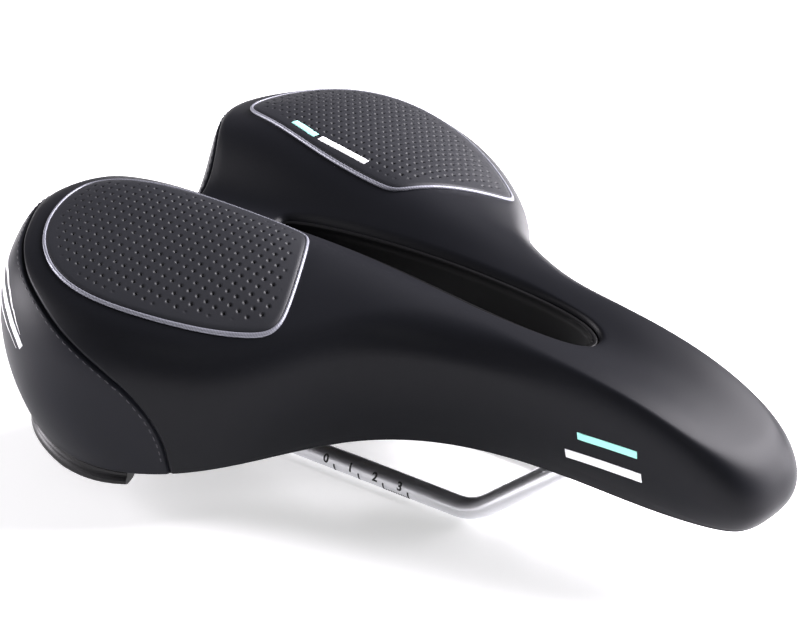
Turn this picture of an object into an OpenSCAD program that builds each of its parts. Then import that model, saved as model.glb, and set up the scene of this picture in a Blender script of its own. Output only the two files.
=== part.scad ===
// Padded touring bicycle saddle with a pressure-relief channel, textured seat
// panels and a pair of round steel rails.
// Frame: the origin is midway between the two rails, at the middle of the straight
// stretch that a seatpost clamp grips. +X points to the nose, +Y to the rider's
// left, +Z up. Millimetres.

/* [Overall size] */
// Length over the cover, tail to nose
saddle_length = 257.6; // [240:0.2:290]
// Width over the cover at the widest point
saddle_width = 200; // [180:1:220]
// Height of the seat's centre line above the rails, at the relief channel
seat_height = 66; // [60:0.5:75]
// How far the two rear lobes stand above the centre line
lobe_rise = 21; // [12:0.5:26]

/* [Layers] */
// Thickness of the synthetic cover
cover_t = 1.3; // [0.8:0.1:2]
// Foam thickness over the rear of the shell
foam_rear = 15; // [10:0.5:20]
// Foam thickness over the nose
foam_nose = 7; // [5:0.5:10]
// Foam thickness on the side walls
foam_side = 4; // [3:0.5:6]
// Wall of the moulded base shell
shell_t = 2.8; // [2:0.1:4]
// Depth of the gel insert at its middle
gel_depth = 7; // [4:0.5:9]
// Clearance between two layers that lie on each other
layer_gap = 0.05; // [0.02:0.01:0.2]
// Clearance round the gel inserts
gel_gap = 0.4; // [0.3:0.1:0.8]

/* [Trim] */
// Thickness of the embossed seat panels
panel_t = 0.8; // [0.5:0.1:1.5]
// Width of the piping round each seat panel
piping_w = 1.8; // [1:0.1:3]
// Height of the piping over the cover
piping_h = 1.3; // [0.8:0.1:2]
// Gap between the cover and the trim on it
trim_gap = 0.3; // [0.1:0.05:0.5]
// Wall of the relief channel's liner
liner_t = 1.3; // [1:0.1:2]
// Width of the cover's fold under the shell's rim
fold_w = 8; // [6:0.5:12]
// Thickness of that fold
fold_t = 1.2; // [0.8:0.1:2]
// Height of the rear scuff guard
guard_h = 7; // [4:0.5:10]
// Number of staples along each side of the cover's fold
staple_count = 15; // [8:1:20]

/* [Rails] */
// Diameter of the rail wire
rail_d = 7; // [7:0.1:8]
// Distance between the rails, centre to centre
rail_gauge = 44; // [43:0.5:45]
// Length of the straight stretch that the seatpost clamp grips
rail_straight = 64; // [55:1:80]
// Distance from the front rail ends to the middle of the clamp length
rail_front = 118; // [105:1:125]
// Distance from the rear rail ends to the middle of the clamp length
rail_rear = 92; // [80:1:98]
// Bend radius of the rail wire, on its centre line
rail_bend = 18; // [12:1:30]
// Radial clearance between a rail and its socket
rail_fit = 0.1; // [0.05:0.05:0.2]

/* [Fixings] */
// Shank diameter of the self-tapping screws
screw_d = 4; // [3:0.5:5]
// Head diameter of the screws
screw_head_d = 7.4; // [6:0.1:9]
// Head height of the screws
screw_head_h = 2.4; // [1.5:0.1:3]
// Shank length of the screws
screw_len = 12; // [10:0.5:16]
// Radial clearance round a screw's shank
screw_fit = 0.15; // [0.1:0.05:0.3]

/* [Hidden] */
$fn = 48;
eps = 0.01;

// The shape tables below hold for this reference size and stretch with it.
ref_length = 257.2;
ref_width = 200.6;
kx = saddle_length / ref_length;
ky = saddle_width / ref_width;

// Half outline at the widest level, rear centre to nose tip (B-spline control points)
half_edge = [[-104, 0], [-104, 18], [-127, 48], [-110.4, 72.6], [-96.6, 95.6], [-58, 105],
    [-11, 80], [8, 41], [50, 27], [92, 23], [125, 20.2], [134.6, 14.6], [136.7, 6], [136.7, 0]];
// Half outline of the relief channel, rear to front
half_slot = [[-58, 0], [-58, 3], [-48, 5.2], [-20, 7.5], [10, 10], [40, 11.2],
    [61, 9], [68, 3.5], [68, 0]];
// Height profiles, at even steps from prof_x0 to prof_x1
prof_x0 = -125;
prof_x1 = 165;
crown = [54, 63, 65, 66, 65, 62.5, 60.5, 56.3, 42.8, 27];
lobe = [19, 21, 17, 14, 10.5, 8, 7, 5, 2, 0];
droop = [0, 3, 4, 6, 12, 15, 17, 18, 19, 20];
round_w = [14, 16, 17.5, 18, 17, 15, 13, 12.5, 12, 12];
edge_drop = [25, 22, 16.5, 12, 10.7, 10.5, 10.5, 11, 11, 11];
hem_z = [22, 19, 12, 14, 22, 24, 22.5, 20, 20.6, 22];
tuck_in = [7, 8, 7.5, 6.5, 6.5, 7, 6.5, 5, 4, 4];
valley_w = 18;
droop_ref = 50;
// Seam between the front cover and the rear cover: share of the half loop, place on
// the way from the edge (0) to the channel (1)
seam_line = [[0, 0.20], [0.06, 0.16], [0.1, 0.125], [0.14, 0.11], [0.22, 0.088],
    [0.295, 0.078], [0.346, 0.05], [0.4167, 0.025], [0.5, 0.05], [1, 0.05]];
// Half-loop share that the seam's run down the skirt gains on its way to the hem
seam_lean = 0.02;
seam_lean_span = 0.07;

// Grid of the layers
stations = 72;
seam_station = 15;
skirt_rows = 3;
seam_rows = 2;
top_rows = 9;
seam_row = skirt_rows + seam_rows;
rows = seam_row + top_rows;

// Layers, outside to inside: [side inset, drop of the top, share of the foam depth in
// that drop, lift of the lower edge, setback from the channel, share of the gel dip]
in_cover = cover_t;
in_foam = cover_t + layer_gap;
out_shell = in_foam + foam_side + layer_gap;
rim_lift = fold_t + 2 * layer_gap;
slot_back = 0.3;
L_skin = [0, 0, 0, 0, 0, 0];
L_lining = [in_cover, in_cover, 0, 0, 0, 0];
L_foam = [in_foam, in_foam, 0, rim_lift, slot_back, 1];
L_seat = [out_shell - layer_gap, in_foam, 1, rim_lift, slot_back, 0];
L_shell = [out_shell, in_foam + layer_gap, 1, rim_lift, slot_back + 1, 0];
L_under = [out_shell + shell_t, in_foam + layer_gap + shell_t, 1, rim_lift,
    slot_back + 1 + shell_t, 0];

// Seat panels and gel inserts
half_panel = [[-109, 38], [-101, 65], [-85, 84], [-64, 90.5], [-33, 80], [-12, 66],
    [-6.5, 60.5], [-8.5, 54], [-18, 36], [-26, 23], [-31, 21], [-60, 24], [-90, 32]];
panel_rings = 5;
panel_steps = 52;
gel_centre = [-68 * kx, 54 * ky];
gel_radii = [32 * kx, 26 * ky];
gel_reach = 0.85;
gel_rings = 4;
gel_steps = 28;

// Rails: corner points of the right-hand wire, rear to front
rail_r = rail_d / 2;
rear_leg = [-54, -14, 36];
front_leg = [38, 11, 29];
function leg_trim(d) = rail_bend * tan(acos(abs(d[0]) / norm(d)) / 2);
rear_corner = [-rail_straight / 2 - leg_trim(rear_leg), -rail_gauge / 2, 0];
front_corner = [rail_straight / 2 + leg_trim(front_leg), -rail_gauge / 2, 0];
rail_path = [rear_corner + rear_leg * ((rail_rear + rear_corner[0]) / -rear_leg[0]),
    rear_corner, front_corner, front_corner + front_leg, [rail_front, -6.5, 31]];
// How much thinner the bent legs are than the clamp stretch, so that they start in it
joint_skin = 0.01;
bend_steps = 8;
wire_sides = 24;

// Fixings
screw_r = screw_d / 2;
screw_hole_r = screw_r + screw_fit;
boss_r = 5;
// Nose block: its screws' places along X, and its height range
nose_screws = [rail_front - 17, rail_front - 5];
nose_block_len = 30;
nose_block_w = 23;
nose_block_z = [24, 34.5];
// Rear sockets
socket_len = 26;
socket_r = 7.5;
socket_plate_z = [45, 48.5];
socket_screw_gap = 19;
socket_mid = -rail_rear + 5;
// Scuff guard: last station on each side, and its screws' stations and inset
guard_station = 14;
guard_screws = [-12, -5, 5, 12];
guard_inset = 12.5;
guard_tab_t = 2.6;
guard_gap = 0.4;

// ---- curves -------------------------------------------------------------------
function bez(u) = [pow(1 - u, 3) / 6, (3 * pow(u, 3) - 6 * u * u + 4) / 6,
    (-3 * pow(u, 3) + 3 * u * u + 3 * u + 1) / 6, pow(u, 3) / 6];
function mix4(u, a, b, c, d) = let (w = bez(u)) w[0] * a + w[1] * b + w[2] * c + w[3] * d;
function mirrored(h) = concat(h, [for (i = [len(h) - 2:-1:1]) [h[i][0], -h[i][1]]]);
function stretched(h) = [for (p = h) [p[0] * kx, p[1] * ky]];
function loop_at(c, s) = let (n = len(c), t = (s - floor(s)) * n, i = floor(t))
    mix4(t - i, c[(i + n - 1) % n], c[i % n], c[(i + 1) % n], c[(i + 2) % n]);
function beyond(v, i) = i < 0 ? 2 * v[0] - v[1]
    : i >= len(v) ? 2 * v[len(v) - 1] - v[len(v) - 2] : v[i];
function profile(v, x) = let (n = len(v) - 1,
        u = min(max((x / kx - prof_x0) / (prof_x1 - prof_x0), 0), 1) * n,
        i = min(floor(u), n - 1))
    mix4(u - i, beyond(v, i - 1), beyond(v, i), beyond(v, i + 1), beyond(v, i + 2));
function unit2(d) = d / norm(d);
function inward_of(c, s) = let (d = unit2(loop_at(c, s + 0.002) - loop_at(c, s - 0.002)))
    [d[1], -d[0]];

edge_loop = mirrored(stretched(half_edge));
slot_loop = mirrored(stretched(half_slot));
panel_loop = stretched(half_panel);

// ---- heights ------------------------------------------------------------------
function height(x, y) = profile(crown, x) + seat_height - 66
    + profile(lobe, x) * lobe_rise / 21 * (1 - exp(-pow(y / (valley_w * ky), 2)))
    - profile(droop, x) * pow(y / (droop_ref * ky), 2);
function foam_depth(x) = let (u = min(max((x / kx + 60) / 140, 0), 1))
    foam_rear + (foam_nose - foam_rear) * u * u * (3 - 2 * u);
function gel_dip(x, y) = gel_depth * max(0, 1 - pow((x - gel_centre[0]) / gel_radii[0], 2)
    - pow((abs(y) - gel_centre[1]) / gel_radii[1], 2));
function shoulder(a) = let (b = min(max(a, 0), 1)) sqrt(1 - pow(1 - b, 3));

// ---- stations round the loop ----------------------------------------------------
function lean(u) = seam_lean * exp(-pow((u - 0.4167) / seam_lean_span, 2));
function share(k) = k <= stations / 2 ? 2 * k / stations : -2 * (stations - k) / stations;
// Loop place of station k at skirt depth w, where w is 0 at the edge and 1 at the hem
function place(k, w) = let (u = share(k), s = abs(u) + lean(abs(u)) * w) (u < 0 ? -s : s) / 2;
function seam_v(k) = lookup(abs(share(k)), seam_line);
function row_v(k, j) = j < skirt_rows ? -1 + j / skirt_rows
    : j < seam_row ? seam_v(k) * (j - skirt_rows) / seam_rows
    : seam_v(k) + (1 - seam_v(k)) * pow((j - seam_row) / top_rows, 1.5);
function edge_z(p) = height(p[0], p[1]) - profile(edge_drop, p[0]);

// A point of layer L at station k and v, which runs from -1 (hem) through 0 (edge) to 1
// (channel)
function skin_point(L, k, v) =
    let (w = max(0, -v), s = place(k, w), p0 = loop_at(edge_loop, s),
        n = inward_of(edge_loop, s), p = p0 + n * L[0], e = edge_z(p0))
    v < 0 ?
        let (q = p + n * profile(tuck_in, p0[0]) * w * w)
            [q[0], q[1], e + (profile(hem_z, p0[0]) + L[3] - e) * w]
    : let (c = loop_at(slot_loop, s) - inward_of(slot_loop, s) * L[4], q = p + (c - p) * v,
            r = min(profile(round_w, p0[0]), norm(c - p)),
            drop = L[1] + L[2] * foam_depth(q[0]) + L[5] * gel_dip(q[0], q[1]))
        [q[0], q[1], e + (height(q[0], q[1]) - drop - e) * shoulder(norm(q - p) / r)];

// Cells of the two covers: the rear cover lies behind the seam and below it
function behind_seam(i, j) = (i < seam_station || i >= stations - seam_station) && j < seam_row;

// A solid between two layers, made of the cells of the grid that `part` picks:
// 0 all, 1 the rear cover's, 2 the front cover's
module layer_solid(outer, inner, part) {
    n = stations;
    m = rows + 1;
    points = concat(
        [for (i = [0:n - 1]) for (j = [0:rows]) skin_point(outer, i, row_v(i, j))],
        [for (i = [0:n - 1]) for (j = [0:rows]) skin_point(inner, i, row_v(i, j))]);
    function picked(i, j) = j >= 0 && j < rows && (part == 0
        || (part == 1) == behind_seam((i + n) % n, j));
    function top_id(i, j) = ((i + n) % n) * m + j;
    function low_id(i, j) = n * m + top_id(i, j);
    function wall(a, b, c, d) = [[a, d, b], [a, c, d]];
    faces = [for (i = [0:n - 1]) for (j = [0:rows - 1]) if (picked(i, j)) each concat(
        [[top_id(i, j), top_id(i + 1, j + 1), top_id(i, j + 1)],
         [top_id(i, j), top_id(i + 1, j), top_id(i + 1, j + 1)],
         [low_id(i, j), low_id(i, j + 1), low_id(i + 1, j + 1)],
         [low_id(i, j), low_id(i + 1, j + 1), low_id(i + 1, j)]],
        picked(i, j - 1) ? []
            : wall(top_id(i, j), top_id(i + 1, j), low_id(i, j), low_id(i + 1, j)),
        picked(i, j + 1) ? []
            : wall(top_id(i + 1, j + 1), top_id(i, j + 1), low_id(i + 1, j + 1), low_id(i, j + 1)),
        picked(i - 1, j) ? []
            : wall(top_id(i, j + 1), top_id(i, j), low_id(i, j + 1), low_id(i, j)),
        picked(i + 1, j) ? []
            : wall(top_id(i + 1, j), top_id(i + 1, j + 1), low_id(i + 1, j), low_id(i + 1, j + 1)))];
    polyhedron(points, faces, convexity = 10);
}

// A ring or an open strip swept round stations a to b, whose section is a list of
// points given for each station by `sections`
module strip_solid(sections, closed) {
    n = len(sections);
    m = len(sections[0]);
    last = closed ? n - 1 : n - 2;
    points = [for (s = sections) each s];
    sides = [for (i = [0:last]) for (j = [0:m - 1])
        let (a = i * m + j, b = i * m + (j + 1) % m,
            c = ((i + 1) % n) * m + (j + 1) % m, d = ((i + 1) % n) * m + j)
        each [[a, c, b], [a, d, c]]];
    ends = closed ? [] : concat(
        [for (j = [1:m - 2]) [0, j, j + 1]],
        [for (j = [1:m - 2]) [(n - 1) * m, (n - 1) * m + j + 1, (n - 1) * m + j]]);
    polyhedron(points, concat(sides, ends), convexity = 10);
}

// A point under or over the cover near its lower edge: inset from the skirt, and height
// from the hem
function hem_point(k, inset, rise) =
    let (s = place(k, 1), p0 = loop_at(edge_loop, s),
        q = p0 + inward_of(edge_loop, s) * (profile(tuck_in, p0[0]) + inset))
    [q[0], q[1], profile(hem_z, p0[0]) + rise];

// ---- surface under the trim -----------------------------------------------------
// The cover's top at (x, y): the section line through the point gives its distance from
// the edge, as in skin_point
line_count = stations * 2;
line_from = [for (k = [0:line_count - 1]) loop_at(edge_loop, k / line_count)];
line_along = [for (k = [0:line_count - 1])
    loop_at(slot_loop, k / line_count) - line_from[k]];
line_edge = [for (p = line_from) edge_z(p)];
line_round = [for (k = [0:line_count - 1])
    min(profile(round_w, line_from[k][0]), norm(line_along[k]))];
function aside(k, p) = let (d = unit2(line_along[k]), q = p - line_from[k])
    d[0] * q[1] - d[1] * q[0];
function beside(k, p) = let (q = (p - line_from[k]) * line_along[k],
        a = norm(line_along[k])) q > -0.1 * a * a && q < 1.1 * a * a;
function top_z(x, y) =
    let (p = [x, y], off = [for (k = [0:line_count - 1]) aside(k, p)],
        hits = [for (k = [0:line_count - 1]) let (m = (k + 1) % line_count)
            if (off[k] * off[m] <= 0 && beside(k, p) && beside(m, p)) k],
        k = hits[0], m = (k + 1) % line_count, f = off[k] / (off[k] - off[m]),
        base = line_from[k] * (1 - f) + line_from[m] * f,
        e = line_edge[k] * (1 - f) + line_edge[m] * f,
        r = line_round[k] * (1 - f) + line_round[m] * f)
    e + (height(x, y) - e) * shoulder(norm(p - base) / r);

// A patch over an outline, from `low` to `high` above the cover's top
module patch_solid(centre, outline, rings, low, high, side) {
    n = len(outline);
    plan = concat([centre], [for (r = [1:rings]) for (p = outline)
        centre + (p - centre) * r / rings]);
    total = len(plan);
    heights = [for (p = plan) top_z(p[0], p[1])];
    points = concat(
        [for (i = [0:total - 1]) [plan[i][0], side * plan[i][1], heights[i] + high]],
        [for (i = [0:total - 1]) [plan[i][0], side * plan[i][1], heights[i] + low]]);
    function id(r, i) = 1 + (r - 1) * n + (i % n);
    up = concat([for (i = [0:n - 1]) [0, id(1, i + 1), id(1, i)]],
        [for (r = [1:rings - 1]) for (i = [0:n - 1]) each
            [[id(r, i), id(r, i + 1), id(r + 1, i + 1)], [id(r, i), id(r + 1, i + 1), id(r + 1, i)]]]);
    down = [for (f = up) [f[0] + total, f[2] + total, f[1] + total]];
    rim = [for (i = [0:n - 1]) each
        [[id(rings, i), id(rings, i + 1), id(rings, i + 1) + total],
         [id(rings, i), id(rings, i + 1) + total, id(rings, i) + total]]];
    all = concat(up, down, rim);
    polyhedron(points, side < 0 ? all : [for (f = all) [f[0], f[2], f[1]]], convexity = 6);
}

// ---- layers -----------------------------------------------------------------------
module front_cover() {
    color([0.13, 0.13, 0.15]) layer_solid(L_skin, L_lining, 2);
}

module rear_cover() {
    color([0.16, 0.16, 0.19]) layer_solid(L_skin, L_lining, 1);
}

module foam_core() {
    color([0.93, 0.9, 0.72]) layer_solid(L_foam, L_seat, 0);
}

// A point of the shell's underside, from plan coordinates
function under_z(x, y) = top_z(x, y) - in_foam - layer_gap - foam_depth(x) - shell_t;

// A boss that hangs from the shell's underside, from its lower end up into the shell
module boss(x, y, z, r) {
    translate([x, y, z]) cylinder(r = r, h = under_z(x, y) + shell_t * 0.5 - z);
}

module base_shell() {
    color([0.1, 0.1, 0.11]) difference() {
        union() {
            layer_solid(L_shell, L_under, 0);
            for (x = nose_screws) boss(x, 0, nose_block_z[1] + layer_gap, boss_r);
            for (sy = [-1, 1]) for (dx = [-1, 1])
                boss(socket_mid + dx * socket_screw_gap / 2, sy * socket_y(dx),
                    socket_plate_z[1] + layer_gap, boss_r);
            for (k = guard_screws) guard_boss((k + stations) % stations);
        }
        for (x = nose_screws) pilot([x, 0, nose_block_z[1]]);
        for (sy = [-1, 1]) for (dx = [-1, 1])
            pilot([socket_mid + dx * socket_screw_gap / 2, sy * socket_y(dx), socket_plate_z[1]]);
        for (k = guard_screws) pilot(hem_point((k + stations) % stations, guard_inset, rim_lift));
    }
}

// Screw places beside the rear ends of the rails
function socket_y(dx) = rail_gauge / 2 + 14 + 2 - dx * 2;

module pilot(p) {
    translate([p[0], p[1], p[2] - 1]) cylinder(r = screw_hole_r, h = screw_len - 1);
}

module guard_boss(k) {
    p = hem_point(k, guard_inset, rim_lift);
    translate(p) cylinder(r = boss_r, h = 13);
}

module cover_fold() {
    color([0.12, 0.12, 0.13]) strip_solid([for (k = [0:stations - 1]) [
        hem_point(k, in_foam, layer_gap), hem_point(k, in_foam, layer_gap + fold_t),
        hem_point(k, in_foam + fold_w, layer_gap + fold_t),
        hem_point(k, in_foam + fold_w, layer_gap)]], true);
}

module gel_insert(side) {
    ring = [for (i = [0:gel_steps - 1]) let (a = 360 * i / gel_steps)
        gel_centre + gel_reach * [gel_radii[0] * cos(a), gel_radii[1] * sin(a)]];
    n = gel_steps;
    plan = concat([gel_centre], [for (r = [1:gel_rings]) for (p = ring)
        gel_centre + (p - gel_centre) * r / gel_rings]);
    total = len(plan);
    points = concat(
        [for (p = plan) [p[0], side * p[1], top_z(p[0], p[1]) - in_foam - gel_gap]],
        [for (p = plan) [p[0], side * p[1],
            top_z(p[0], p[1]) - in_foam - gel_dip(p[0], p[1]) + gel_gap]]);
    function id(r, i) = 1 + (r - 1) * n + (i % n);
    up = concat([for (i = [0:n - 1]) [0, id(1, i + 1), id(1, i)]],
        [for (r = [1:gel_rings - 1]) for (i = [0:n - 1]) each
            [[id(r, i), id(r, i + 1), id(r + 1, i + 1)], [id(r, i), id(r + 1, i + 1), id(r + 1, i)]]]);
    down = [for (f = up) [f[0] + total, f[2] + total, f[1] + total]];
    rim = [for (i = [0:n - 1]) each
        [[id(gel_rings, i), id(gel_rings, i + 1), id(gel_rings, i + 1) + total],
         [id(gel_rings, i), id(gel_rings, i + 1) + total, id(gel_rings, i) + total]]];
    all = concat(up, down, rim);
    color([0.45, 0.75, 0.85]) polyhedron(points,
        side > 0 ? all : [for (f = all) [f[0], f[2], f[1]]], convexity = 6);
}

// ---- trim -------------------------------------------------------------------------
panel_outline = [for (i = [0:panel_steps - 1]) loop_at(panel_loop, i / panel_steps)];
panel_normals = [for (i = [0:panel_steps - 1]) inward_of(panel_loop, i / panel_steps)];
panel_centre = [-56 * kx, 54 * ky];

module seat_panel(side) {
    color([0.2, 0.2, 0.22]) patch_solid(panel_centre,
        [for (i = [0:panel_steps - 1]) panel_outline[i] + panel_normals[i] * (piping_w / 2 + 0.1)],
        panel_rings, trim_gap, trim_gap + panel_t, side);
}

module panel_piping(side) {
    h = piping_w / 2;
    function corner(i, d, z) = let (p = panel_outline[i] + panel_normals[i] * d)
        [p[0], side * p[1], top_z(p[0], p[1]) + z];
    ring = [for (i = [0:panel_steps - 1]) [corner(i, -h, trim_gap), corner(i, -h * 0.7, piping_h * 0.8),
        corner(i, 0, piping_h), corner(i, h * 0.7, piping_h * 0.8), corner(i, h, trim_gap)]];
    color([0.66, 0.67, 0.7]) strip_solid(side < 0 ? [for (i = [panel_steps - 1:-1:0]) ring[i]] : ring, true);
}

module channel_liner() {
    function corner(k, d, z) = let (s = place(k, 0), c = loop_at(slot_loop, s) + inward_of(slot_loop, s) * d)
        [c[0], c[1], z];
    function lip(k) = let (c = loop_at(slot_loop, place(k, 0))) height(c[0], c[1]) - 0.8;
    function foot(k) = let (c = loop_at(slot_loop, place(k, 0)))
        height(c[0], c[1]) - in_foam - foam_depth(c[0]) - shell_t - 2.5;
    color([0.07, 0.07, 0.08]) strip_solid([for (k = [0:stations - 1]) [
        corner(k, 0.1, foot(k)), corner(k, 0.1, lip(k)),
        corner(k, 0.1 + liner_t, lip(k) - 0.5), corner(k, 0.1 + liner_t, foot(k))]], true);
}

function guard_scale(k) = let (u = 1 - abs(k) / (guard_station + 0.6)) min(1, 0.25 + 2.2 * sqrt(u) * 0.9);

module rear_guard() {
    color([0.05, 0.05, 0.055]) difference() {
        union() {
            strip_solid([for (k = [-guard_station:guard_station]) let (i = (k + stations) % stations,
                    h = guard_h * guard_scale(k), z = -guard_gap) [
                hem_point(i, 9.5, z), hem_point(i, 6.5, z - h), hem_point(i, 3, z - h),
                hem_point(i, 1.4, z - h * 0.7), hem_point(i, 0.6, z)]], false);
            for (k = guard_screws) {
                p = hem_point((k + stations) % stations, guard_inset, -guard_gap - guard_tab_t);
                translate(p) cylinder(r = boss_r + 0.5, h = guard_tab_t - 0.1);
            }
        }
        for (k = guard_screws) {
            p = hem_point((k + stations) % stations, guard_inset, 0);
            translate([p[0], p[1], p[2] - 20]) cylinder(r = screw_hole_r, h = 40);
            translate([p[0], p[1], p[2] - guard_gap - guard_tab_t - 20])
                cylinder(r = screw_head_d / 2 + 0.4, h = 20);
        }
    }
}

module staples() {
    first = seam_station + 2;
    last = stations / 2 - 2;
    color([0.75, 0.75, 0.77]) for (side = [-1, 1]) for (i = [0:staple_count - 1]) {
        k = first + (last - first) * i / (staple_count - 1);
        a = hem_point(k - 0.2, in_foam + fold_w * 0.6, 0);
        b = hem_point(k + 0.2, in_foam + fold_w * 0.6, 0);
        d = b - a;
        translate([(a[0] + b[0]) / 2, side * (a[1] + b[1]) / 2, (a[2] + b[2]) / 2 - 0.45])
            rotate([0, 0, atan2(side * d[1], d[0])])
                rotate([0, -atan2(d[2], norm([d[0], d[1]])), 0])
                    cube([7, 0.9, 0.6], center = true);
    }
}

// ---- rails ------------------------------------------------------------------------
function unit(v) = v / norm(v);
function corner_angle(a, b, c) = acos(unit(b - a) * unit(c - b));
function corner_trim(a, b, c, r) = r * tan(corner_angle(a, b, c) / 2);

module along(p, d) {
    translate(p) rotate([0, acos(unit(d)[2]), atan2(d[1], d[0])]) children();
}

// Stations of a bent wire, each [place, direction]: straight legs with round corners
function wire_corner(a, b, c, r) =
    let (u = unit(b - a), turn = corner_angle(a, b, c), n = unit(cross(u, unit(c - b))),
        inward = cross(n, u), start = b - u * corner_trim(a, b, c, r))
    [for (i = [0:bend_steps]) let (t = turn * i / bend_steps)
        [start + u * r * sin(t) + inward * r * (1 - cos(t)), u * cos(t) + inward * sin(t)]];
function wire_stations(p, r) = let (n = len(p)) concat(
    [[p[0], unit(p[1] - p[0])]],
    [for (i = [1:n - 2]) each wire_corner(p[i - 1], p[i], p[i + 1], r)],
    [[p[n - 1], unit(p[n - 1] - p[n - 2])]]);

// A bent leg of the wire, as a many-sided tube that starts inside the clamp stretch
module wire_leg(p) {
    strip_solid([for (s = wire_stations(p, rail_bend))
        let (u = unit(cross(s[1], [0, 1, 0])), v = cross(s[1], u))
        [for (i = [0:wire_sides - 1]) let (a = 360 * i / wire_sides)
            s[0] + (rail_r - joint_skin) * (u * cos(a) + v * sin(a))]], false);
}

module right_rail() {
    half = rail_straight / 2;
    color([0.78, 0.78, 0.8]) {
        translate([-half, -rail_gauge / 2, 0]) rotate([0, 90, 0])
            cylinder(r = rail_r, h = rail_straight);
        wire_leg([[1 - half, -rail_gauge / 2, 0], rail_path[1], rail_path[0]]);
        wire_leg([[half - 1, -rail_gauge / 2, 0], rail_path[2], rail_path[3], rail_path[4]]);
    }
}

module rail(side) {
    if (side < 0) right_rail();
    else mirror([0, 1, 0]) right_rail();
}

// The bore that a rail's end sits in: it opens towards the rail and stops past its end
module rail_bore(p, from) {
    d = unit(p - from);
    along(from, d) cylinder(r = rail_r + rail_fit, h = norm(p - from) + 1);
}

module nose_block() {
    x0 = rail_front + 4 - nose_block_len;
    color([0.08, 0.08, 0.09]) difference() {
        hull() {
            for (sy = [-1, 1]) translate([x0 + 3, sy * (nose_block_w / 2 - 3), nose_block_z[0]])
                cylinder(r = 3, h = nose_block_z[1] - nose_block_z[0]);
            translate([x0 + nose_block_len - 6, 0, nose_block_z[0]])
                cylinder(r = 6, h = nose_block_z[1] - nose_block_z[0]);
            for (sy = [-1, 1]) translate([x0 + nose_block_len - 10, sy * (nose_block_w / 2 - 4), nose_block_z[0]])
                cylinder(r = 3, h = nose_block_z[1] - nose_block_z[0]);
        }
        for (sy = [-1, 1]) {
            p = rail_path[4];
            q = rail_path[3];
            rail_bore([p[0], -sy * p[1], p[2]], [q[0], -sy * q[1], q[2]]);
        }
        for (x = nose_screws) {
            translate([x, 0, nose_block_z[0] - 1]) cylinder(r = screw_hole_r, h = 20);
            translate([x, 0, nose_block_z[0] - 1])
                cylinder(r = screw_head_d / 2 + 0.4, h = 1 + screw_seat(nose_block_z[1]) - nose_block_z[0]);
        }
    }
}

// Level of a screw head's underside, for a joint at height z
function screw_seat(z) = z - (screw_len - 8);

module rear_socket(side) {
    p = rail_path[0];
    q = rail_path[1];
    d = unit(q - p);
    module right() {
        difference() {
            union() {
                along(p - d * 4, d) cylinder(r = socket_r, h = socket_len);
                hull() for (dx = [-1, 1])
                    translate([socket_mid + dx * socket_screw_gap / 2, -socket_y(dx), socket_plate_z[0]])
                        cylinder(r = boss_r + 1.5, h = socket_plate_z[1] - socket_plate_z[0]);
                hull() {
                    translate([socket_mid, -socket_y(0), socket_plate_z[0] + 1]) cylinder(r = 5.5, h = 1);
                    along(p + d * 6, d) cylinder(r = 5, h = 2);
                }
            }
            rail_bore(p, q);
            for (dx = [-1, 1]) {
                translate([socket_mid + dx * socket_screw_gap / 2, -socket_y(dx), socket_plate_z[0] - 20])
                    cylinder(r = screw_hole_r, h = 30);
                translate([socket_mid + dx * socket_screw_gap / 2, -socket_y(dx), socket_plate_z[0] - 20])
                    cylinder(r = screw_head_d / 2 + 0.4, h = 20);
            }
        }
    }
    color([0.08, 0.08, 0.09]) if (side < 0) right();
    else mirror([0, 1, 0]) right();
}

// ---- screws -----------------------------------------------------------------------
// A pan-head screw, pointing up, with the underside of its head at the given point
module screw(p) {
    translate(p) {
        translate([0, 0, layer_gap]) cylinder(r = screw_r, h = screw_len - 3);
        difference() {
            translate([0, 0, layer_gap - screw_head_h]) cylinder(r = screw_head_d / 2, h = screw_head_h);
            translate([0, 0, -screw_head_h - 1]) cylinder(r = 1.6, h = 2.4);
        }
    }
}

module screws() {
    color([0.62, 0.62, 0.65]) {
        for (x = nose_screws) screw([x, 0, screw_seat(nose_block_z[1]) - 2 * layer_gap]);
        for (sy = [-1, 1]) for (dx = [-1, 1])
            screw([socket_mid + dx * socket_screw_gap / 2, sy * socket_y(dx),
                socket_plate_z[0] - 2 * layer_gap]);
        for (k = guard_screws) {
            p = hem_point((k + stations) % stations, guard_inset, -guard_gap - guard_tab_t);
            screw([p[0], p[1], p[2] - 2 * layer_gap]);
        }
    }
}

front_cover();
rear_cover();
cover_fold();
foam_core();
gel_insert(1);  // gel_insert_left
gel_insert(-1);  // gel_insert_right
seat_panel(1);  // seat_panel_left
seat_panel(-1);  // seat_panel_right
panel_piping(1);  // panel_piping_left
panel_piping(-1);  // panel_piping_right
channel_liner();
base_shell();
rail(1);  // rail_left
rail(-1);  // rail_right
nose_block();
rear_socket(1);  // rear_socket_left
rear_socket(-1);  // rear_socket_right
rear_guard();
staples();
screws();
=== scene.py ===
"""Finished look of a padded touring saddle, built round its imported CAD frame."""

import logging
import math
from dataclasses import dataclass, replace
from enum import Enum
from typing import Sequence

import bmesh
import bpy
import numpy as np
from mathutils import Matrix, Vector
from mathutils.bvhtree import BVHTree
from mathutils.geometry import delaunay_2d_cdt
from mathutils.kdtree import KDTree


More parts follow.
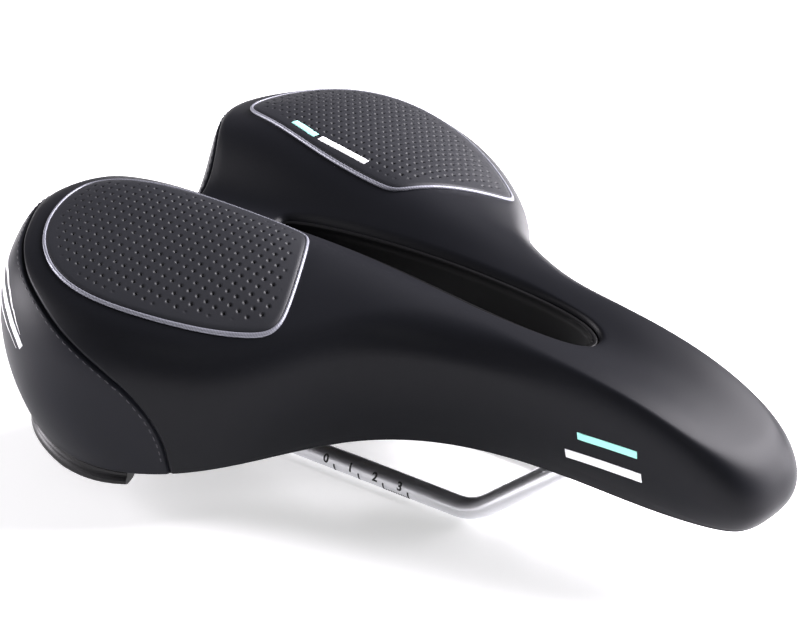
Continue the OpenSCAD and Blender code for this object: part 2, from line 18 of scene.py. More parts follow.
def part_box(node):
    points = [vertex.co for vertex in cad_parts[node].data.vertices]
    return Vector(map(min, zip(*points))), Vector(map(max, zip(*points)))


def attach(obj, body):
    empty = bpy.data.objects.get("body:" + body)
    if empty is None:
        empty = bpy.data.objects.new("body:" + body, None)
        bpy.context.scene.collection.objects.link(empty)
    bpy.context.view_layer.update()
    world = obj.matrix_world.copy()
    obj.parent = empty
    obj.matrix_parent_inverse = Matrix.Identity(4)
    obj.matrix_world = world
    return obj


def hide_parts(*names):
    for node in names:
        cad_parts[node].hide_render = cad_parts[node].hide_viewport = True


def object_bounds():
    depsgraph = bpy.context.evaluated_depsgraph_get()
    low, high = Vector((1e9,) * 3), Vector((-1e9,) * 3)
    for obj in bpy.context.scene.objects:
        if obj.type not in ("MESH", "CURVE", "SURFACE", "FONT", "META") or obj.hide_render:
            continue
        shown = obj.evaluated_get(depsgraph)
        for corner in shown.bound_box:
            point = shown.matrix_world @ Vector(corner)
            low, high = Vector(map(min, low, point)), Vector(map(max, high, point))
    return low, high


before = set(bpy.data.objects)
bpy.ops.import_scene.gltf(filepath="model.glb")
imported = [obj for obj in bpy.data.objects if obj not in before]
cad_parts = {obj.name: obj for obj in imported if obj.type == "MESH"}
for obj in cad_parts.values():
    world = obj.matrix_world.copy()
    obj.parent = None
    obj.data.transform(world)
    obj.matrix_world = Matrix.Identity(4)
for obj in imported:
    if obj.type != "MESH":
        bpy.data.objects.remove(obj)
CAD_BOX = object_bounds()

MM = 0.001
LOG = logging.getLogger("saddle")
Array = np.ndarray


# ---------------------------------------------------------------- small helpers
def linear(code: str) -> tuple[float, float, float, float]:
    """Turn an sRGB hex code into a linear colour.

    Args:
        code: colour such as "#1c1d22".

    Returns:
        Linear red, green, blue and an alpha of 1.
    """
    parts = [int(code.lstrip("#")[i:i + 2], 16) / 255 for i in (0, 2, 4)]
    lin = [p / 12.92 if p <= 0.04045 else ((p + 0.055) / 1.055) ** 2.4 for p in parts]
    return (lin[0], lin[1], lin[2], 1.0)


def add_node(tree: bpy.types.NodeTree, kind: str, links: dict | None = None,
             **settings) -> bpy.types.Node:
    """Add a node with its settings and its input links.

    Args:
        tree: node tree that gets the node.
        kind: Blender's class name of the node.
        links: input name or index to an output socket, or to a plain value.
        settings: attributes of the node.

    Returns:
        The new node.
    """
    node = tree.nodes.new(kind)
    for name, value in settings.items():
        setattr(node, name, value)
    for key, value in (links or {}).items():
        if isinstance(value, bpy.types.NodeSocket):
            tree.links.new(value, node.inputs[key])
        else:
            node.inputs[key].default_value = value
    return node


def mesh_object(name: str, points: Array, faces: Sequence[Sequence[int]],
                smooth: bool = True) -> bpy.types.Object:
    """Make a mesh object from points in millimetres.

    Args:
        name: name of the piece.
        points: rows of x, y, z in millimetres.
        faces: corner indices of each face.
        smooth: whether faces are shaded smooth.

    Returns:
        The object, linked to the scene.
    """
    mesh = bpy.data.meshes.new(name)
    mesh.from_pydata((np.asarray(points, float) * MM).tolist(), [], [list(f) for f in faces])
    mesh.update()
    if smooth:
        mesh.polygons.foreach_set("use_smooth", [True] * len(mesh.polygons))
    obj = bpy.data.objects.new(name, mesh)
    bpy.context.scene.collection.objects.link(obj)
    return obj


def turn_outwards(obj: bpy.types.Object) -> bpy.types.Object:
    """Recalculate a closed mesh's normals so that its faces point outwards."""
    bm = bmesh.new()
    bm.from_mesh(obj.data)
    bmesh.ops.recalc_face_normals(bm, faces=bm.faces)
    bm.to_mesh(obj.data)
    bm.free()
    return obj


def crease(obj: bpy.types.Object, degrees: float) -> bpy.types.Object:
    """Mark edges sharper than an angle, so that smooth shading stops at them."""
    obj.data.set_sharp_from_angle(angle=math.radians(degrees))
    return obj


def paint(obj: bpy.types.Object, material: bpy.types.Material) -> None:
    """Give an object one material in every slot."""
    slots = obj.data.materials
    if len(slots) == 0:
        slots.append(material)
    for i in range(len(slots)):
        slots[i] = material


def sweep(name: str, sections: Array, closed: bool) -> bpy.types.Object:
    """Skin a tube over a row of closed sections.

    Args:
        name: name of the piece.
        sections: array of sections by corners by 3, in millimetres.
        closed: whether the last section joins the first.

    Returns:
        The tube, with fan caps when it is open.
    """
    count, corners = sections.shape[:2]
    faces: list[list[int]] = []
    for i in range(count if closed else count - 1):
        j = (i + 1) % count
        for a in range(corners):
            b = (a + 1) % corners
            faces.append([i * corners + a, i * corners + b, j * corners + b, j * corners + a])
    if not closed:
        faces.append(list(range(corners))[::-1])
        faces.append([(count - 1) * corners + a for a in range(corners)])
    return turn_outwards(mesh_object(name, sections.reshape(-1, 3), faces))


def apply_nodes(obj: bpy.types.Object, tree: bpy.types.NodeTree, values: dict[str, object],
                name: str) -> bpy.types.Object:
    """Run a Geometry Nodes tree on an object and keep the result as a plain mesh.

    Args:
        obj: object that carries the tree's input geometry.
        tree: the Geometry Nodes tree.
        values: interface input name to its value.
        name: name of the new piece.

    Returns:
        A new object with the evaluated mesh; the carrier is removed.
    """
    mod = obj.modifiers.new("nodes", "NODES")
    mod.node_group = tree
    for item in tree.interface.items_tree:
        if item.item_type == "SOCKET" and item.in_out == "INPUT" and item.name in values:
            mod[item.identifier] = values[item.name]
    depsgraph = bpy.context.evaluated_depsgraph_get()
    mesh = bpy.data.meshes.new_from_object(obj.evaluated_get(depsgraph))
    mesh.name = name
    result = bpy.data.objects.new(name, mesh)
    bpy.context.scene.collection.objects.link(result)
    bpy.data.objects.remove(obj)
    return result


def new_tree(name: str, inputs: dict[str, tuple[str, object]]) -> bpy.types.NodeTree:
    """Start a Geometry Nodes tree with named inputs.

    Args:
        name: name of the tree.
        inputs: input name to its socket type and default value.

    Returns:
        The tree, with a geometry input and output.
    """
    tree = bpy.data.node_groups.new(name, "GeometryNodeTree")
    face = tree.interface
    face.new_socket("Geometry", in_out="INPUT", socket_type="NodeSocketGeometry")
    for label, (kind, value) in inputs.items():
        item = face.new_socket(label, in_out="INPUT", socket_type=kind)
        if value is not None:
            item.default_value = value
    face.new_socket("Geometry", in_out="OUTPUT", socket_type="NodeSocketGeometry")
    return tree


# ---------------------------------------------------------------- form of the seat
def spline_mix(u: Array, a: Array, b: Array, c: Array, d: Array) -> Array:
    """Blend four neighbouring control values with the uniform cubic B-spline."""
    return ((1 - u) ** 3 * a + (3 * u ** 3 - 6 * u ** 2 + 4) * b
            + (-3 * u ** 3 + 3 * u ** 2 + 3 * u + 1) * c + u ** 3 * d) / 6


def loop_at(ctrl: Array, s: Array) -> Array:
    """Points of a closed B-spline loop.

    Args:
        ctrl: control points, rows of x, y.
        s: places round the loop, 1 being once round.

    Returns:
        Array of s's shape by 2.
    """
    count = len(ctrl)
    t = (s - np.floor(s)) * count
    i = np.floor(t).astype(int)
    u = (t - i)[..., None]
    return spline_mix(u, *(ctrl[(i + k) % count] for k in (-1, 0, 1, 2)))


def inward_of(ctrl: Array, s: Array) -> Array:
    """Unit normals of a loop that point to its inside."""
    d = loop_at(ctrl, s + 0.002) - loop_at(ctrl, s - 0.002)
    d /= np.linalg.norm(d, axis=-1, keepdims=True)
    return np.stack([d[..., 1], -d[..., 0]], axis=-1)


def mirrored(half: Sequence[tuple[float, float]]) -> Array:
    """Complete a half outline, whose two ends lie on the centre line, into a loop."""
    pts = list(half) + [(x, -y) for x, y in reversed(half[1:-1])]
    return np.array(pts, float)


@dataclass(frozen=True)
class Layer:
    """Where a layer lies under the cover's skin, in millimetres."""

    side: float = 0.0
    drop: float = 0.0
    foam_share: float = 0.0
    lift: float = 0.0
    setback: float = 0.0
    gel_share: float = 0.0


@dataclass(frozen=True)
class SeatForm:
    """Outline, heights and edges of the seat, in millimetres.

    The tables are the CAD model's own; they hold for the reference size and stretch to
    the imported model's length and width.
    """

    kx: float = 1.0
    ky: float = 1.0
    half_edge: tuple = ((-104, 0), (-104, 18), (-127, 48), (-110.4, 72.6), (-96.6, 95.6),
                        (-58, 105), (-11, 80), (8, 41), (50, 27), (92, 23), (125, 20.2),
                        (134.6, 14.6), (136.7, 6), (136.7, 0))
    half_slot: tuple = ((-58, 0), (-58, 3), (-48, 5.2), (-20, 7.5), (10, 10), (40, 11.2),
                        (61, 9), (68, 3.5), (68, 0))
    prof_x: tuple = (-125.0, 165.0)
    crown: tuple = (54, 63, 65, 66, 65, 62.5, 60.5, 56.3, 42.8, 27)
    lobe: tuple = (19, 21, 17, 14, 10.5, 8, 7, 5, 2, 0)
    droop: tuple = (0, 3, 4, 6, 12, 15, 17, 18, 19, 20)
    round_w: tuple = (14, 16, 17.5, 18, 17, 15, 13, 12.5, 12, 12)
    edge_drop: tuple = (25, 22, 16.5, 12, 10.7, 10.5, 10.5, 11, 11, 11)
    hem_z: tuple = (22, 19, 12, 14, 22, 24, 22.5, 20, 20.6, 22)
    tuck_in: tuple = (7, 8, 7.5, 6.5, 6.5, 7, 6.5, 5, 4, 4)
    valley_w: float = 18.0
    droop_ref: float = 50.0
    seam_rise: tuple = ((0, 23.3), (0.03, 23.0), (0.06, 21.7), (0.098, 19.4), (0.14, 17.8),
                        (0.22, 15.9), (0.295, 15.0), (0.346, 11.9), (0.386, 6.6),
                        (0.4085, 0.9), (0.4199, -5.2), (0.4346, -17.0), (0.4425, -27.0),
                        (0.45, -42.0), (0.56, -25.0), (1, -25.0))
    seam_end: float = 0.45
    lean: float = -0.02
    lean_at: float = 0.43
    lean_span: float = 0.07
    foam_rear: float = 15.0
    foam_nose: float = 7.0
    gel_centre: tuple = (-68.0, 54.0)
    gel_radii: tuple = (32.0, 26.0)
    gel_depth: float = 7.0

    def edge_loop(self) -> Array:
        """Control loop of the widest outline."""
        return mirrored(self.half_edge) * [self.kx, self.ky]

    def slot_loop(self) -> Array:
        """Control loop of the relief channel's mouth."""
        return mirrored(self.half_slot) * [self.kx, self.ky]

    def profile(self, values: Sequence[float], x: Array) -> Array:
        """Value of a height table at x, a B-spline over even steps."""
        v = np.array(values, float)
        v = np.concatenate([[2 * v[0] - v[1]], v, [2 * v[-1] - v[-2]]])
        steps = len(values) - 1
        x0, x1 = self.prof_x
        u = np.clip((np.asarray(x) / self.kx - x0) / (x1 - x0), 0, 1) * steps
        i = np.minimum(np.floor(u).astype(int), steps - 1)
        return spline_mix(u - i, v[i], v[i + 1], v[i + 2], v[i + 3])

    def height(self, x: Array, y: Array) -> Array:
        """Height of the seat's top before its edge rounds off."""
        rise = 1 - np.exp(-(y / (self.valley_w * self.ky)) ** 2)
        return (self.profile(self.crown, x) + self.profile(self.lobe, x) * rise
                - self.profile(self.droop, x) * (y / (self.droop_ref * self.ky)) ** 2)

    def foam_depth(self, x: Array) -> Array:
        """Foam thickness over the shell, thick at the rear and thin at the nose."""
        u = np.clip((x / self.kx + 60) / 140, 0, 1)
        return self.foam_rear + (self.foam_nose - self.foam_rear) * u * u * (3 - 2 * u)

    def gel_dip(self, x: Array, y: Array) -> Array:
        """Depth of the dip in the foam that holds a gel insert."""
        r2 = (((x - self.gel_centre[0]) / self.gel_radii[0]) ** 2
              + ((np.abs(y) - self.gel_centre[1]) / self.gel_radii[1]) ** 2)
        return self.gel_depth * np.maximum(0, 1 - r2)

    def seam(self, share: Array) -> Array:
        """Place of the seam on the way from edge to channel, at a half-loop share.

        The seam's table gives its rise over the widest edge, in millimetres; on the
        rounded shoulder the place goes with the square of that rise.
        """
        knots = np.array(self.seam_rise)
        a = np.abs(share)
        spread = 0.016 * np.clip((self.seam_end - a) / 0.03, 0, 1)
        rise = sum(np.interp(np.abs(a + d * spread), knots[:, 0], knots[:, 1]) * w
                   for d, w in ((-1, 1), (-0.5, 2), (0, 2), (0.5, 2), (1, 1))) / 8
        return np.where(rise > 0, 0.0667 * (rise / 14) ** 2, rise / 42)

    def place(self, share: Array, w: Array) -> Array:
        """Loop place of a station share at skirt depth w, with the seam's lean."""
        a = np.abs(share)
        lean = self.lean * np.exp(-((a - self.lean_at) / self.lean_span) ** 2)
        return np.where(share < 0, -1, 1) * (a + lean * w) / 2

    def point(self, layer: Layer, share: Array, v: Array) -> Array:
        """Points of a layer.

        Args:
            layer: where the layer lies under the skin.
            share: signed shares of the half loop.
            v: -1 at the hem, 0 at the widest edge, 1 at the channel.

        Returns:
            Array of the inputs' shape by 3.
        """
        share, v = np.broadcast_arrays(share, v)
        edge, slot = self.edge_loop(), self.slot_loop()
        w = np.maximum(0, -v)
        s = self.place(share, w)
        p0, n = loop_at(edge, s), inward_of(edge, s)
        p = p0 + n * layer.side
        e = self.height(p0[..., 0], p0[..., 1]) - self.profile(self.edge_drop, p0[..., 0])
        tuck = self.profile(self.tuck_in, p0[..., 0])
        low = p + n * (tuck * w * w)[..., None]
        low_z = e + (self.profile(self.hem_z, p0[..., 0]) + layer.lift - e) * w
        c = loop_at(slot, s) - inward_of(slot, s) * layer.setback
        q = p + (c - p) * np.maximum(v, 0)[..., None]
        span = np.linalg.norm(c - p, axis=-1)
        r = np.minimum(self.profile(self.round_w, p0[..., 0]), span)
        a = np.clip(np.linalg.norm(q - p, axis=-1) / r, 0, 1)
        drop = (layer.drop + layer.foam_share * self.foam_depth(q[..., 0])
                + layer.gel_share * self.gel_dip(q[..., 0], q[..., 1]))
        top = e + (self.height(q[..., 0], q[..., 1]) - drop - e) * np.sqrt(1 - (1 - a) ** 3)
        skirt = v < 0
        return np.concatenate([np.where(skirt[..., None], low, q),
                               np.where(skirt, low_z, top)[..., None]], axis=-1)

    def hem(self, share: Array, inset: Array, rise: Array) -> Array:
        """Points near the hem: inset from the skirt and height over the hem."""
        share, inset, rise = np.broadcast_arrays(share, inset, rise)
        edge = self.edge_loop()
        s = self.place(share, np.ones_like(share, dtype=float))
        p0 = loop_at(edge, s)
        q = p0 + inward_of(edge, s) * (self.profile(self.tuck_in, p0[..., 0]) + inset)[..., None]
        z = self.profile(self.hem_z, p0[..., 0]) + rise
        return np.concatenate([q, z[..., None]], axis=-1)

    def top(self, plan: Array, lines: int = 720) -> Array:
        """Height of the cover's top over plan points on it.

        Args:
            plan: rows of x, y.
            lines: how many section lines find each point's distance from the edge.

        Returns:
            One height for each point.
        """
        s = np.arange(lines) / lines
        start = loop_at(self.edge_loop(), s)
        along = loop_at(self.slot_loop(), s) - start
        span = np.linalg.norm(along, axis=1)
        unit = along / span[:, None]
        e = self.height(start[:, 0], start[:, 1]) - self.profile(self.edge_drop, start[:, 0])
        r = np.minimum(self.profile(self.round_w, start[:, 0]), span)
        out = np.zeros(len(plan))
        for i in range(0, len(plan), 4000):
            p = plan[i:i + 4000]
            d = p[:, None, :] - start[None]
            off = unit[None, :, 0] * d[..., 1] - unit[None, :, 1] * d[..., 0]
            run = (d * unit[None]).sum(-1)
            good = (run > -0.1 * span) & (run < 1.1 * span)
            nxt = np.roll(off, -1, axis=1)
            hit = (off * nxt <= 0) & good & np.roll(good, -1, axis=1)
            k = hit.argmax(1)
            rows = np.arange(len(p))
            f = off[rows, k] / (off[rows, k] - nxt[rows, k] + 1e-12)
            m = (k + 1) % lines
            mix = lambda t: t[k] * (1 - f) + t[m] * f
            base = start[k] * (1 - f)[:, None] + start[m] * f[:, None]
            a = np.clip(np.linalg.norm(p - base, axis=1) / mix(r), 0, 1)
            out[i:i + 4000] = mix(e) + (self.height(p[:, 0], p[:, 1]) - mix(e)) * np.sqrt(
                1 - (1 - a) ** 3)
        return out


def packed_form() -> SeatForm:
    """The seat form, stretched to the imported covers' length and width."""
    boxes = [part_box(n) for n in ("front_cover", "rear_cover")]
    low = np.min([b[0] for b in boxes], axis=0)
    high = np.max([b[1] for b in boxes], axis=0)
    return SeatForm(kx=(high[0] - low[0]) / MM / 257.2, ky=(high[1] - low[1]) / MM / 200.6)


# ---------------------------------------------------------------- finishes
class Grain(Enum):
    """How a moulded surface is broken up at close range."""

    SMOOTH = 0.0
    FINE = 0.25
    PEBBLED = 0.6


@dataclass(frozen=True)
class Moulded:
    """Polymer surface: a base colour, a grain in mm and a soft, uneven gloss."""

    name: str
    tone: str
    tone_worn: str
    roughness: float
    grain_mm: float = 0.35
    grain: Grain = Grain.FINE
    sheen: float = 0.0
    metallic: float = 0.0
    glow: float = 0.0
    mirror: float = 0.5
    # point attribute whose value paints shade into the dimples, darkening their colour
    pits: str = ""
    ior: float = 1.45

    def build(self) -> bpy.types.Material:
        """Build the material."""
        mat = bpy.data.materials.new(self.name)
        mat.use_nodes = True
        tree = mat.node_tree
        shader = tree.nodes["Principled BSDF"]
        shader.inputs["IOR"].default_value = self.ior
        shader.inputs["Metallic"].default_value = self.metallic
        shader.inputs["Specular IOR Level"].default_value = self.mirror
        shader.inputs["Emission Color"].default_value = linear("#ffffff")
        shader.inputs["Emission Strength"].default_value = self.glow
        shader.inputs["Sheen Weight"].default_value = self.sheen
        shader.inputs["Sheen Roughness"].default_value = 0.45
        shader.inputs["Sheen Tint"].default_value = linear("#a39ca2")
        coords = add_node(tree, "ShaderNodeTexCoord").outputs["Object"]
        # broad patches where handling has changed the tone and gloss a little
        patches = add_node(tree, "ShaderNodeTexNoise", {"Vector": coords, "Scale": 22.0,
                                                        "Detail": 3.0, "Roughness": 0.55})
        tone = add_node(tree, "ShaderNodeMix", {0: patches.outputs["Fac"],
                                                6: linear(self.tone),
                                                7: linear(self.tone_worn)}, data_type="RGBA")
        colour = tone.outputs[2]
        if self.pits:
            # painted shade: each pressed dimple's colour is darkened towards near-black the deeper
            # it goes
            pit = add_node(tree, "ShaderNodeAttribute")
            pit.attribute_name = self.pits
            colour = add_node(tree, "ShaderNodeMix", {0: pit.outputs["Fac"], 6: colour,
                                                      7: linear("#030304")},
                              data_type="RGBA").outputs[2]
        tree.links.new(colour, shader.inputs["Base Color"])
        gloss = add_node(tree, "ShaderNodeMapRange", {
            "Value": patches.outputs["Fac"], "To Min": self.roughness - 0.05,
            "To Max": self.roughness + 0.05})
        tree.links.new(gloss.outputs["Result"], shader.inputs["Roughness"])
        # the mould's grain, seen as a faint sparkle along the highlights
        grain = add_node(tree, "ShaderNodeTexNoise", {"Vector": coords,
                                                      "Scale": 1 / (self.grain_mm * MM),
                                                      "Detail": 2.0})
        bump = add_node(tree, "ShaderNodeBump", {"Height": grain.outputs["Fac"],
                                                 "Strength": self.grain.value,
                                                 "Distance": 0.00006})
        tree.links.new(bump.outputs["Normal"], shader.inputs["Normal"])
        return mat


@dataclass(frozen=True)
class Wire:
    """Plated steel wire: bright, with fine drawn streaks along X."""

    name: str
    tone: str
    roughness: float
    streak_mm: float = 0.25

    def build(self) -> bpy.types.Material:
        """Build the material."""
        mat = bpy.data.materials.new(self.name)
        mat.use_nodes = True
        tree = mat.node_tree
        shader = tree.nodes["Principled BSDF"]
        shader.inputs["Metallic"].default_value = 1.0
        shader.inputs["IOR"].default_value = 2.5
        shader.inputs["Base Color"].default_value = linear(self.tone)
        coords = add_node(tree, "ShaderNodeTexCoord").outputs["Object"]
        # drawn streaks: noise stretched along the wire spreads the gloss across it
        along = add_node(tree, "ShaderNodeMapping", {"Vector": coords,
                                                     "Scale": (0.04, 1.0, 1.0)})
        streak = add_node(tree, "ShaderNodeTexNoise", {"Vector": along.outputs["Vector"],
                                                       "Scale": 1 / (self.streak_mm * MM),
                                                       "Detail": 2.0})
        rough = add_node(tree, "ShaderNodeMapRange", {"Value": streak.outputs["Fac"],
                                                      "To Min": self.roughness - 0.06,
                                                      "To Max": self.roughness + 0.08})
        tree.links.new(rough.outputs["Result"], shader.inputs["Roughness"])
        bump = add_node(tree, "ShaderNodeBump", {"Height": streak.outputs["Fac"],
                                                 "Strength": 0.12, "Distance": 0.00004})
        tree.links.new(bump.outputs["Normal"], shader.inputs["Normal"])
        return mat


@dataclass(frozen=True)
class Woven:
    """Braided trim: fine diagonal ribs over a pale metallised yarn, with painted highlight and
    shade along the ribs.
    """

    name: str
    tone: str
    shade: str
    rib_mm: float
    roughness: float

    def build(self) -> bpy.types.Material:
        """Build the material."""
        mat = bpy.data.materials.new(self.name)
        mat.use_nodes = True
        tree = mat.node_tree
        shader = tree.nodes["Principled BSDF"]
        shader.inputs["Roughness"].default_value = self.roughness
        shader.inputs["Metallic"].default_value = 0.35
        shader.inputs["IOR"].default_value = 1.5
        coords = add_node(tree, "ShaderNodeTexCoord").outputs["Object"]
        # painted highlight and shade: across each rib of the braid, one every rib_mm, the colour
        # runs between the shaded and the lit tone as the ribs catch and lose the light
        ribs = add_node(tree, "ShaderNodeTexWave", {"Vector": coords,
                                                    "Scale": 0.31 / (self.rib_mm * MM),
                                                    "Distortion": 2.0, "Detail": 2.0},
                        bands_direction="DIAGONAL")
        tone = add_node(tree, "ShaderNodeMix", {0: ribs.outputs["Fac"],
                                                6: linear(self.shade),
                                                7: linear(self.tone)}, data_type="RGBA")
        tree.links.new(tone.outputs[2], shader.inputs["Base Color"])
        bump = add_node(tree, "ShaderNodeBump", {"Height": ribs.outputs["Fac"],
                                                 "Strength": 0.2, "Distance": 0.0001})
        tree.links.new(bump.outputs["Normal"], shader.inputs["Normal"])
        return mat


@dataclass(frozen=True)
class Cellular:
    """Foam or gel: open cells a fraction of a millimetre wide, with painted shade in their hollows.
    """

    name: str
    tone: str
    shade: str
    cell_mm: float
    roughness: float
    transmission: float = 0.0

    def build(self) -> bpy.types.Material:
        """Build the material."""
        mat = bpy.data.materials.new(self.name)
        mat.use_nodes = True
        tree = mat.node_tree
        shader = tree.nodes["Principled BSDF"]
        shader.inputs["Roughness"].default_value = self.roughness
        shader.inputs["Transmission Weight"].default_value = self.transmission
        shader.inputs["IOR"].default_value = 1.45
        coords = add_node(tree, "ShaderNodeTexCoord").outputs["Object"]
        # painted shade: each cell's hollow darker than the paler walls that close it
        cells = add_node(tree, "ShaderNodeTexVoronoi", {"Vector": coords,
                                                        "Scale": 1 / (self.cell_mm * MM)})
        tone = add_node(tree, "ShaderNodeMix", {0: cells.outputs["Distance"],
                                                6: linear(self.shade),
                                                7: linear(self.tone)}, data_type="RGBA")
        tree.links.new(tone.outputs[2], shader.inputs["Base Color"])
        bump = add_node(tree, "ShaderNodeBump", {"Height": cells.outputs["Distance"],
                                                 "Strength": 0.5, "Distance": 0.0002})
        tree.links.new(bump.outputs["Normal"], shader.inputs["Normal"])
        return mat


@dataclass(frozen=True)
class Palette:
    """Every finish of the saddle."""

    cover: Moulded = Moulded("polyurethane_soft_touch_skin", "#0d0e12", "#111216", 0.43,
                             sheen=0.02, mirror=0.12)
    rear_cover: Moulded = Moulded("polyurethane_soft_touch_rear_band", "#101117", "#14151b",
                                  0.45, sheen=0.02, mirror=0.14)
    # the panel's dimples get painted shade from the pit attribute
    panel: Moulded = Moulded("microfibre_embossed_dimples", "#18191d", "#1d1e22", 0.48,
                             grain_mm=0.22, grain=Grain.PEBBLED, sheen=0.02, mirror=0.22,
                             pits="pit")
    piping: Woven = Woven("metallised_yarn_braided", "#7f8089", "#6f7079", 0.6, 0.45)
    liner: Moulded = Moulded("polypropylene_black_moulded_lip", "#060607", "#08080a", 0.5,
                             mirror=0.15)
    shell: Moulded = Moulded("polypropylene_black_moulded_shell", "#17171a", "#1d1d21", 0.5,
                             grain_mm=0.5, grain=Grain.PEBBLED)
    socket: Moulded = Moulded("nylon_glass_filled_moulded", "#151518", "#1c1c20", 0.55)
    guard: Moulded = Moulded("polycarbonate_black_satin_moulded", "#0b0b0d", "#0e0e10", 0.38,
                             mirror=0.3)
    fold: Moulded = Moulded("polyurethane_skin_folded_under", "#202024", "#26262a", 0.6)
    rail: Wire = Wire("steel_wire_nickel_plated_satin", "#dcdce0", 0.3)
    staple: Wire = Wire("steel_wire_galvanised_stapled", "#b4b4b8", 0.35)
    screw: Wire = Wire("steel_zinc_plated_turned", "#9a9aa0", 0.32)
    thread: Woven = Woven("polyester_thread_bonded", "#4a4a50", "#232327", 0.35, 0.55)
    foam: Cellular = Cellular("polyurethane_foam_open_cell", "#d8cf9e", "#b7ad7c", 0.6, 0.9)
    gel: Cellular = Cellular("polyurethane_gel_cast", "#6fa7c4", "#4f88a8", 2.0, 0.2, 0.4)
    white_ink: Moulded = Moulded("polyurethane_ink_white_screened", "#f2f2f4", "#e6e6ea",
                                 0.45, grain=Grain.SMOOTH)
    mint_ink: Moulded = Moulded("polyurethane_ink_mint_screened", "#a2e9dd", "#92decf",
                                0.45, grain=Grain.SMOOTH)
    dark_ink: Moulded = Moulded("epoxy_ink_black_pad_printed", "#08080a", "#0c0c0e", 0.6,
                                grain=Grain.SMOOTH)
    backdrop: Moulded = Moulded("acrylic_opal_backlit", "#f4f4f4", "#f6f6f6", 0.9,
                                grain=Grain.SMOOTH, glow=0.45)


def surface_tree(objs: Sequence[bpy.types.Object], fill: float = 0.0) -> BVHTree:
    """One search tree over the surfaces of some pieces.

    Args:
        objs: the pieces.
        fill: depth in metres of the pressed dimples, which are filled in first.

    Returns:
        The tree.
    """
    points, faces = [], []
    for obj in objs:
        start = len(points)
        pit = obj.data.attributes.get("pit")
        points += [v.co + v.normal * (pit.data[v.index].value * fill if pit else 0.0)
                   for v in obj.data.vertices]
        faces += [[start + i for i in p.vertices] for p in obj.data.polygons]
    return BVHTree.FromPolygons(points, faces)


# ---------------------------------------------------------------- covers
@dataclass(frozen=True)
class CoverSizes:
    """Sizes of the two covers' visual skins, in millimetres."""

    pitch: float = 1.7
    thickness: float = 0.9
    close_rows: tuple = (0.0, 0.2, 0.4, 0.65, 0.95, 1.3, 1.8, 2.5, 3.4)
    groove_depth: float = 1.15
    groove_reach: float = 0.5
    hem_radius: float = 1.0
    roll_radius: float = 2.3
    roll_rows: int = 8
    lip_drop: float = 4.5
    overhang: float = 0.5
    unevenness: float = 0.10


class Skin:
    """The covers' common surface, measured so that rows can be placed in millimetres."""

    def __init__(self, form: SeatForm, sizes: CoverSizes) -> None:
        """Measure every column of the surface.

        Args:
            form: outline and heights.
            sizes: sizes of the skins.
        """
        self.form = form
        self.sizes = sizes
        self.shares = self._columns()
        self.v_fine = np.linspace(-1, 1, 601)
        self.seam_at = form.seam(self.shares)
        cols = form.point(Layer(), self.shares[:, None], self.v_fine[None, :])
        steps = np.linalg.norm(np.diff(cols, axis=1), axis=-1)
        self.run = np.concatenate([np.zeros((len(cols), 1)), np.cumsum(steps, axis=1)], 1)
        self.seam_run = np.array([max(np.interp(a, self.v_fine, r), sizes.hem_radius + 0.02)
                                  for a, r in zip(self.seam_at, self.run)])

    def _columns(self) -> Array:
        """Signed shares of the columns, close together at the seam's run down the side."""
        half = np.linspace(0, 1, 2001)
        pts = self.form.point(Layer(), half, np.zeros_like(half))
        arc = np.concatenate([[0], np.cumsum(np.linalg.norm(np.diff(pts, axis=0), axis=1))])
        at = np.interp(self.form.seam_end, half, arc)
        close = np.array(self.sizes.close_rows)
        rest = close[-1]

        def spread(length: float) -> Array:
            count = max(2, round((length - rest) / self.sizes.pitch))
            return np.concatenate([close[:-1], np.linspace(rest, length, count + 1)])

        back = at - spread(at)
        front = at + spread(arc[-1] - at)
        run = np.unique(np.round(np.concatenate([back, front]), 6))
        share = np.interp(run, arc, half)
        share[0], share[-1] = 0.0, 1.0
        self.middle = int(np.argmin(abs(share - self.form.seam_end)))
        share[self.middle] = self.form.seam_end
        return np.concatenate([share, -share[-2:0:-1]])

    def v_at(self, column: int, run: Array) -> Array:
        """Values of v at distances from the hem along a column."""
        return np.interp(run, self.run[column], self.v_fine)

    def seam_points(self, count: int = 900) -> Array:
        """Points along the seam, from the right hem over the tail to the left hem."""
        end = self.form.seam_end
        share = np.linspace(-end, end, 4 * count)
        line = self.form.point(Layer(), share, self.form.seam(share))
        run = np.concatenate([[0], np.cumsum(np.linalg.norm(np.diff(line, axis=0), axis=1))])
        even = np.linspace(0, run[-1], count)
        return np.column_stack([np.interp(even, run, line[:, k]) for k in range(3)])


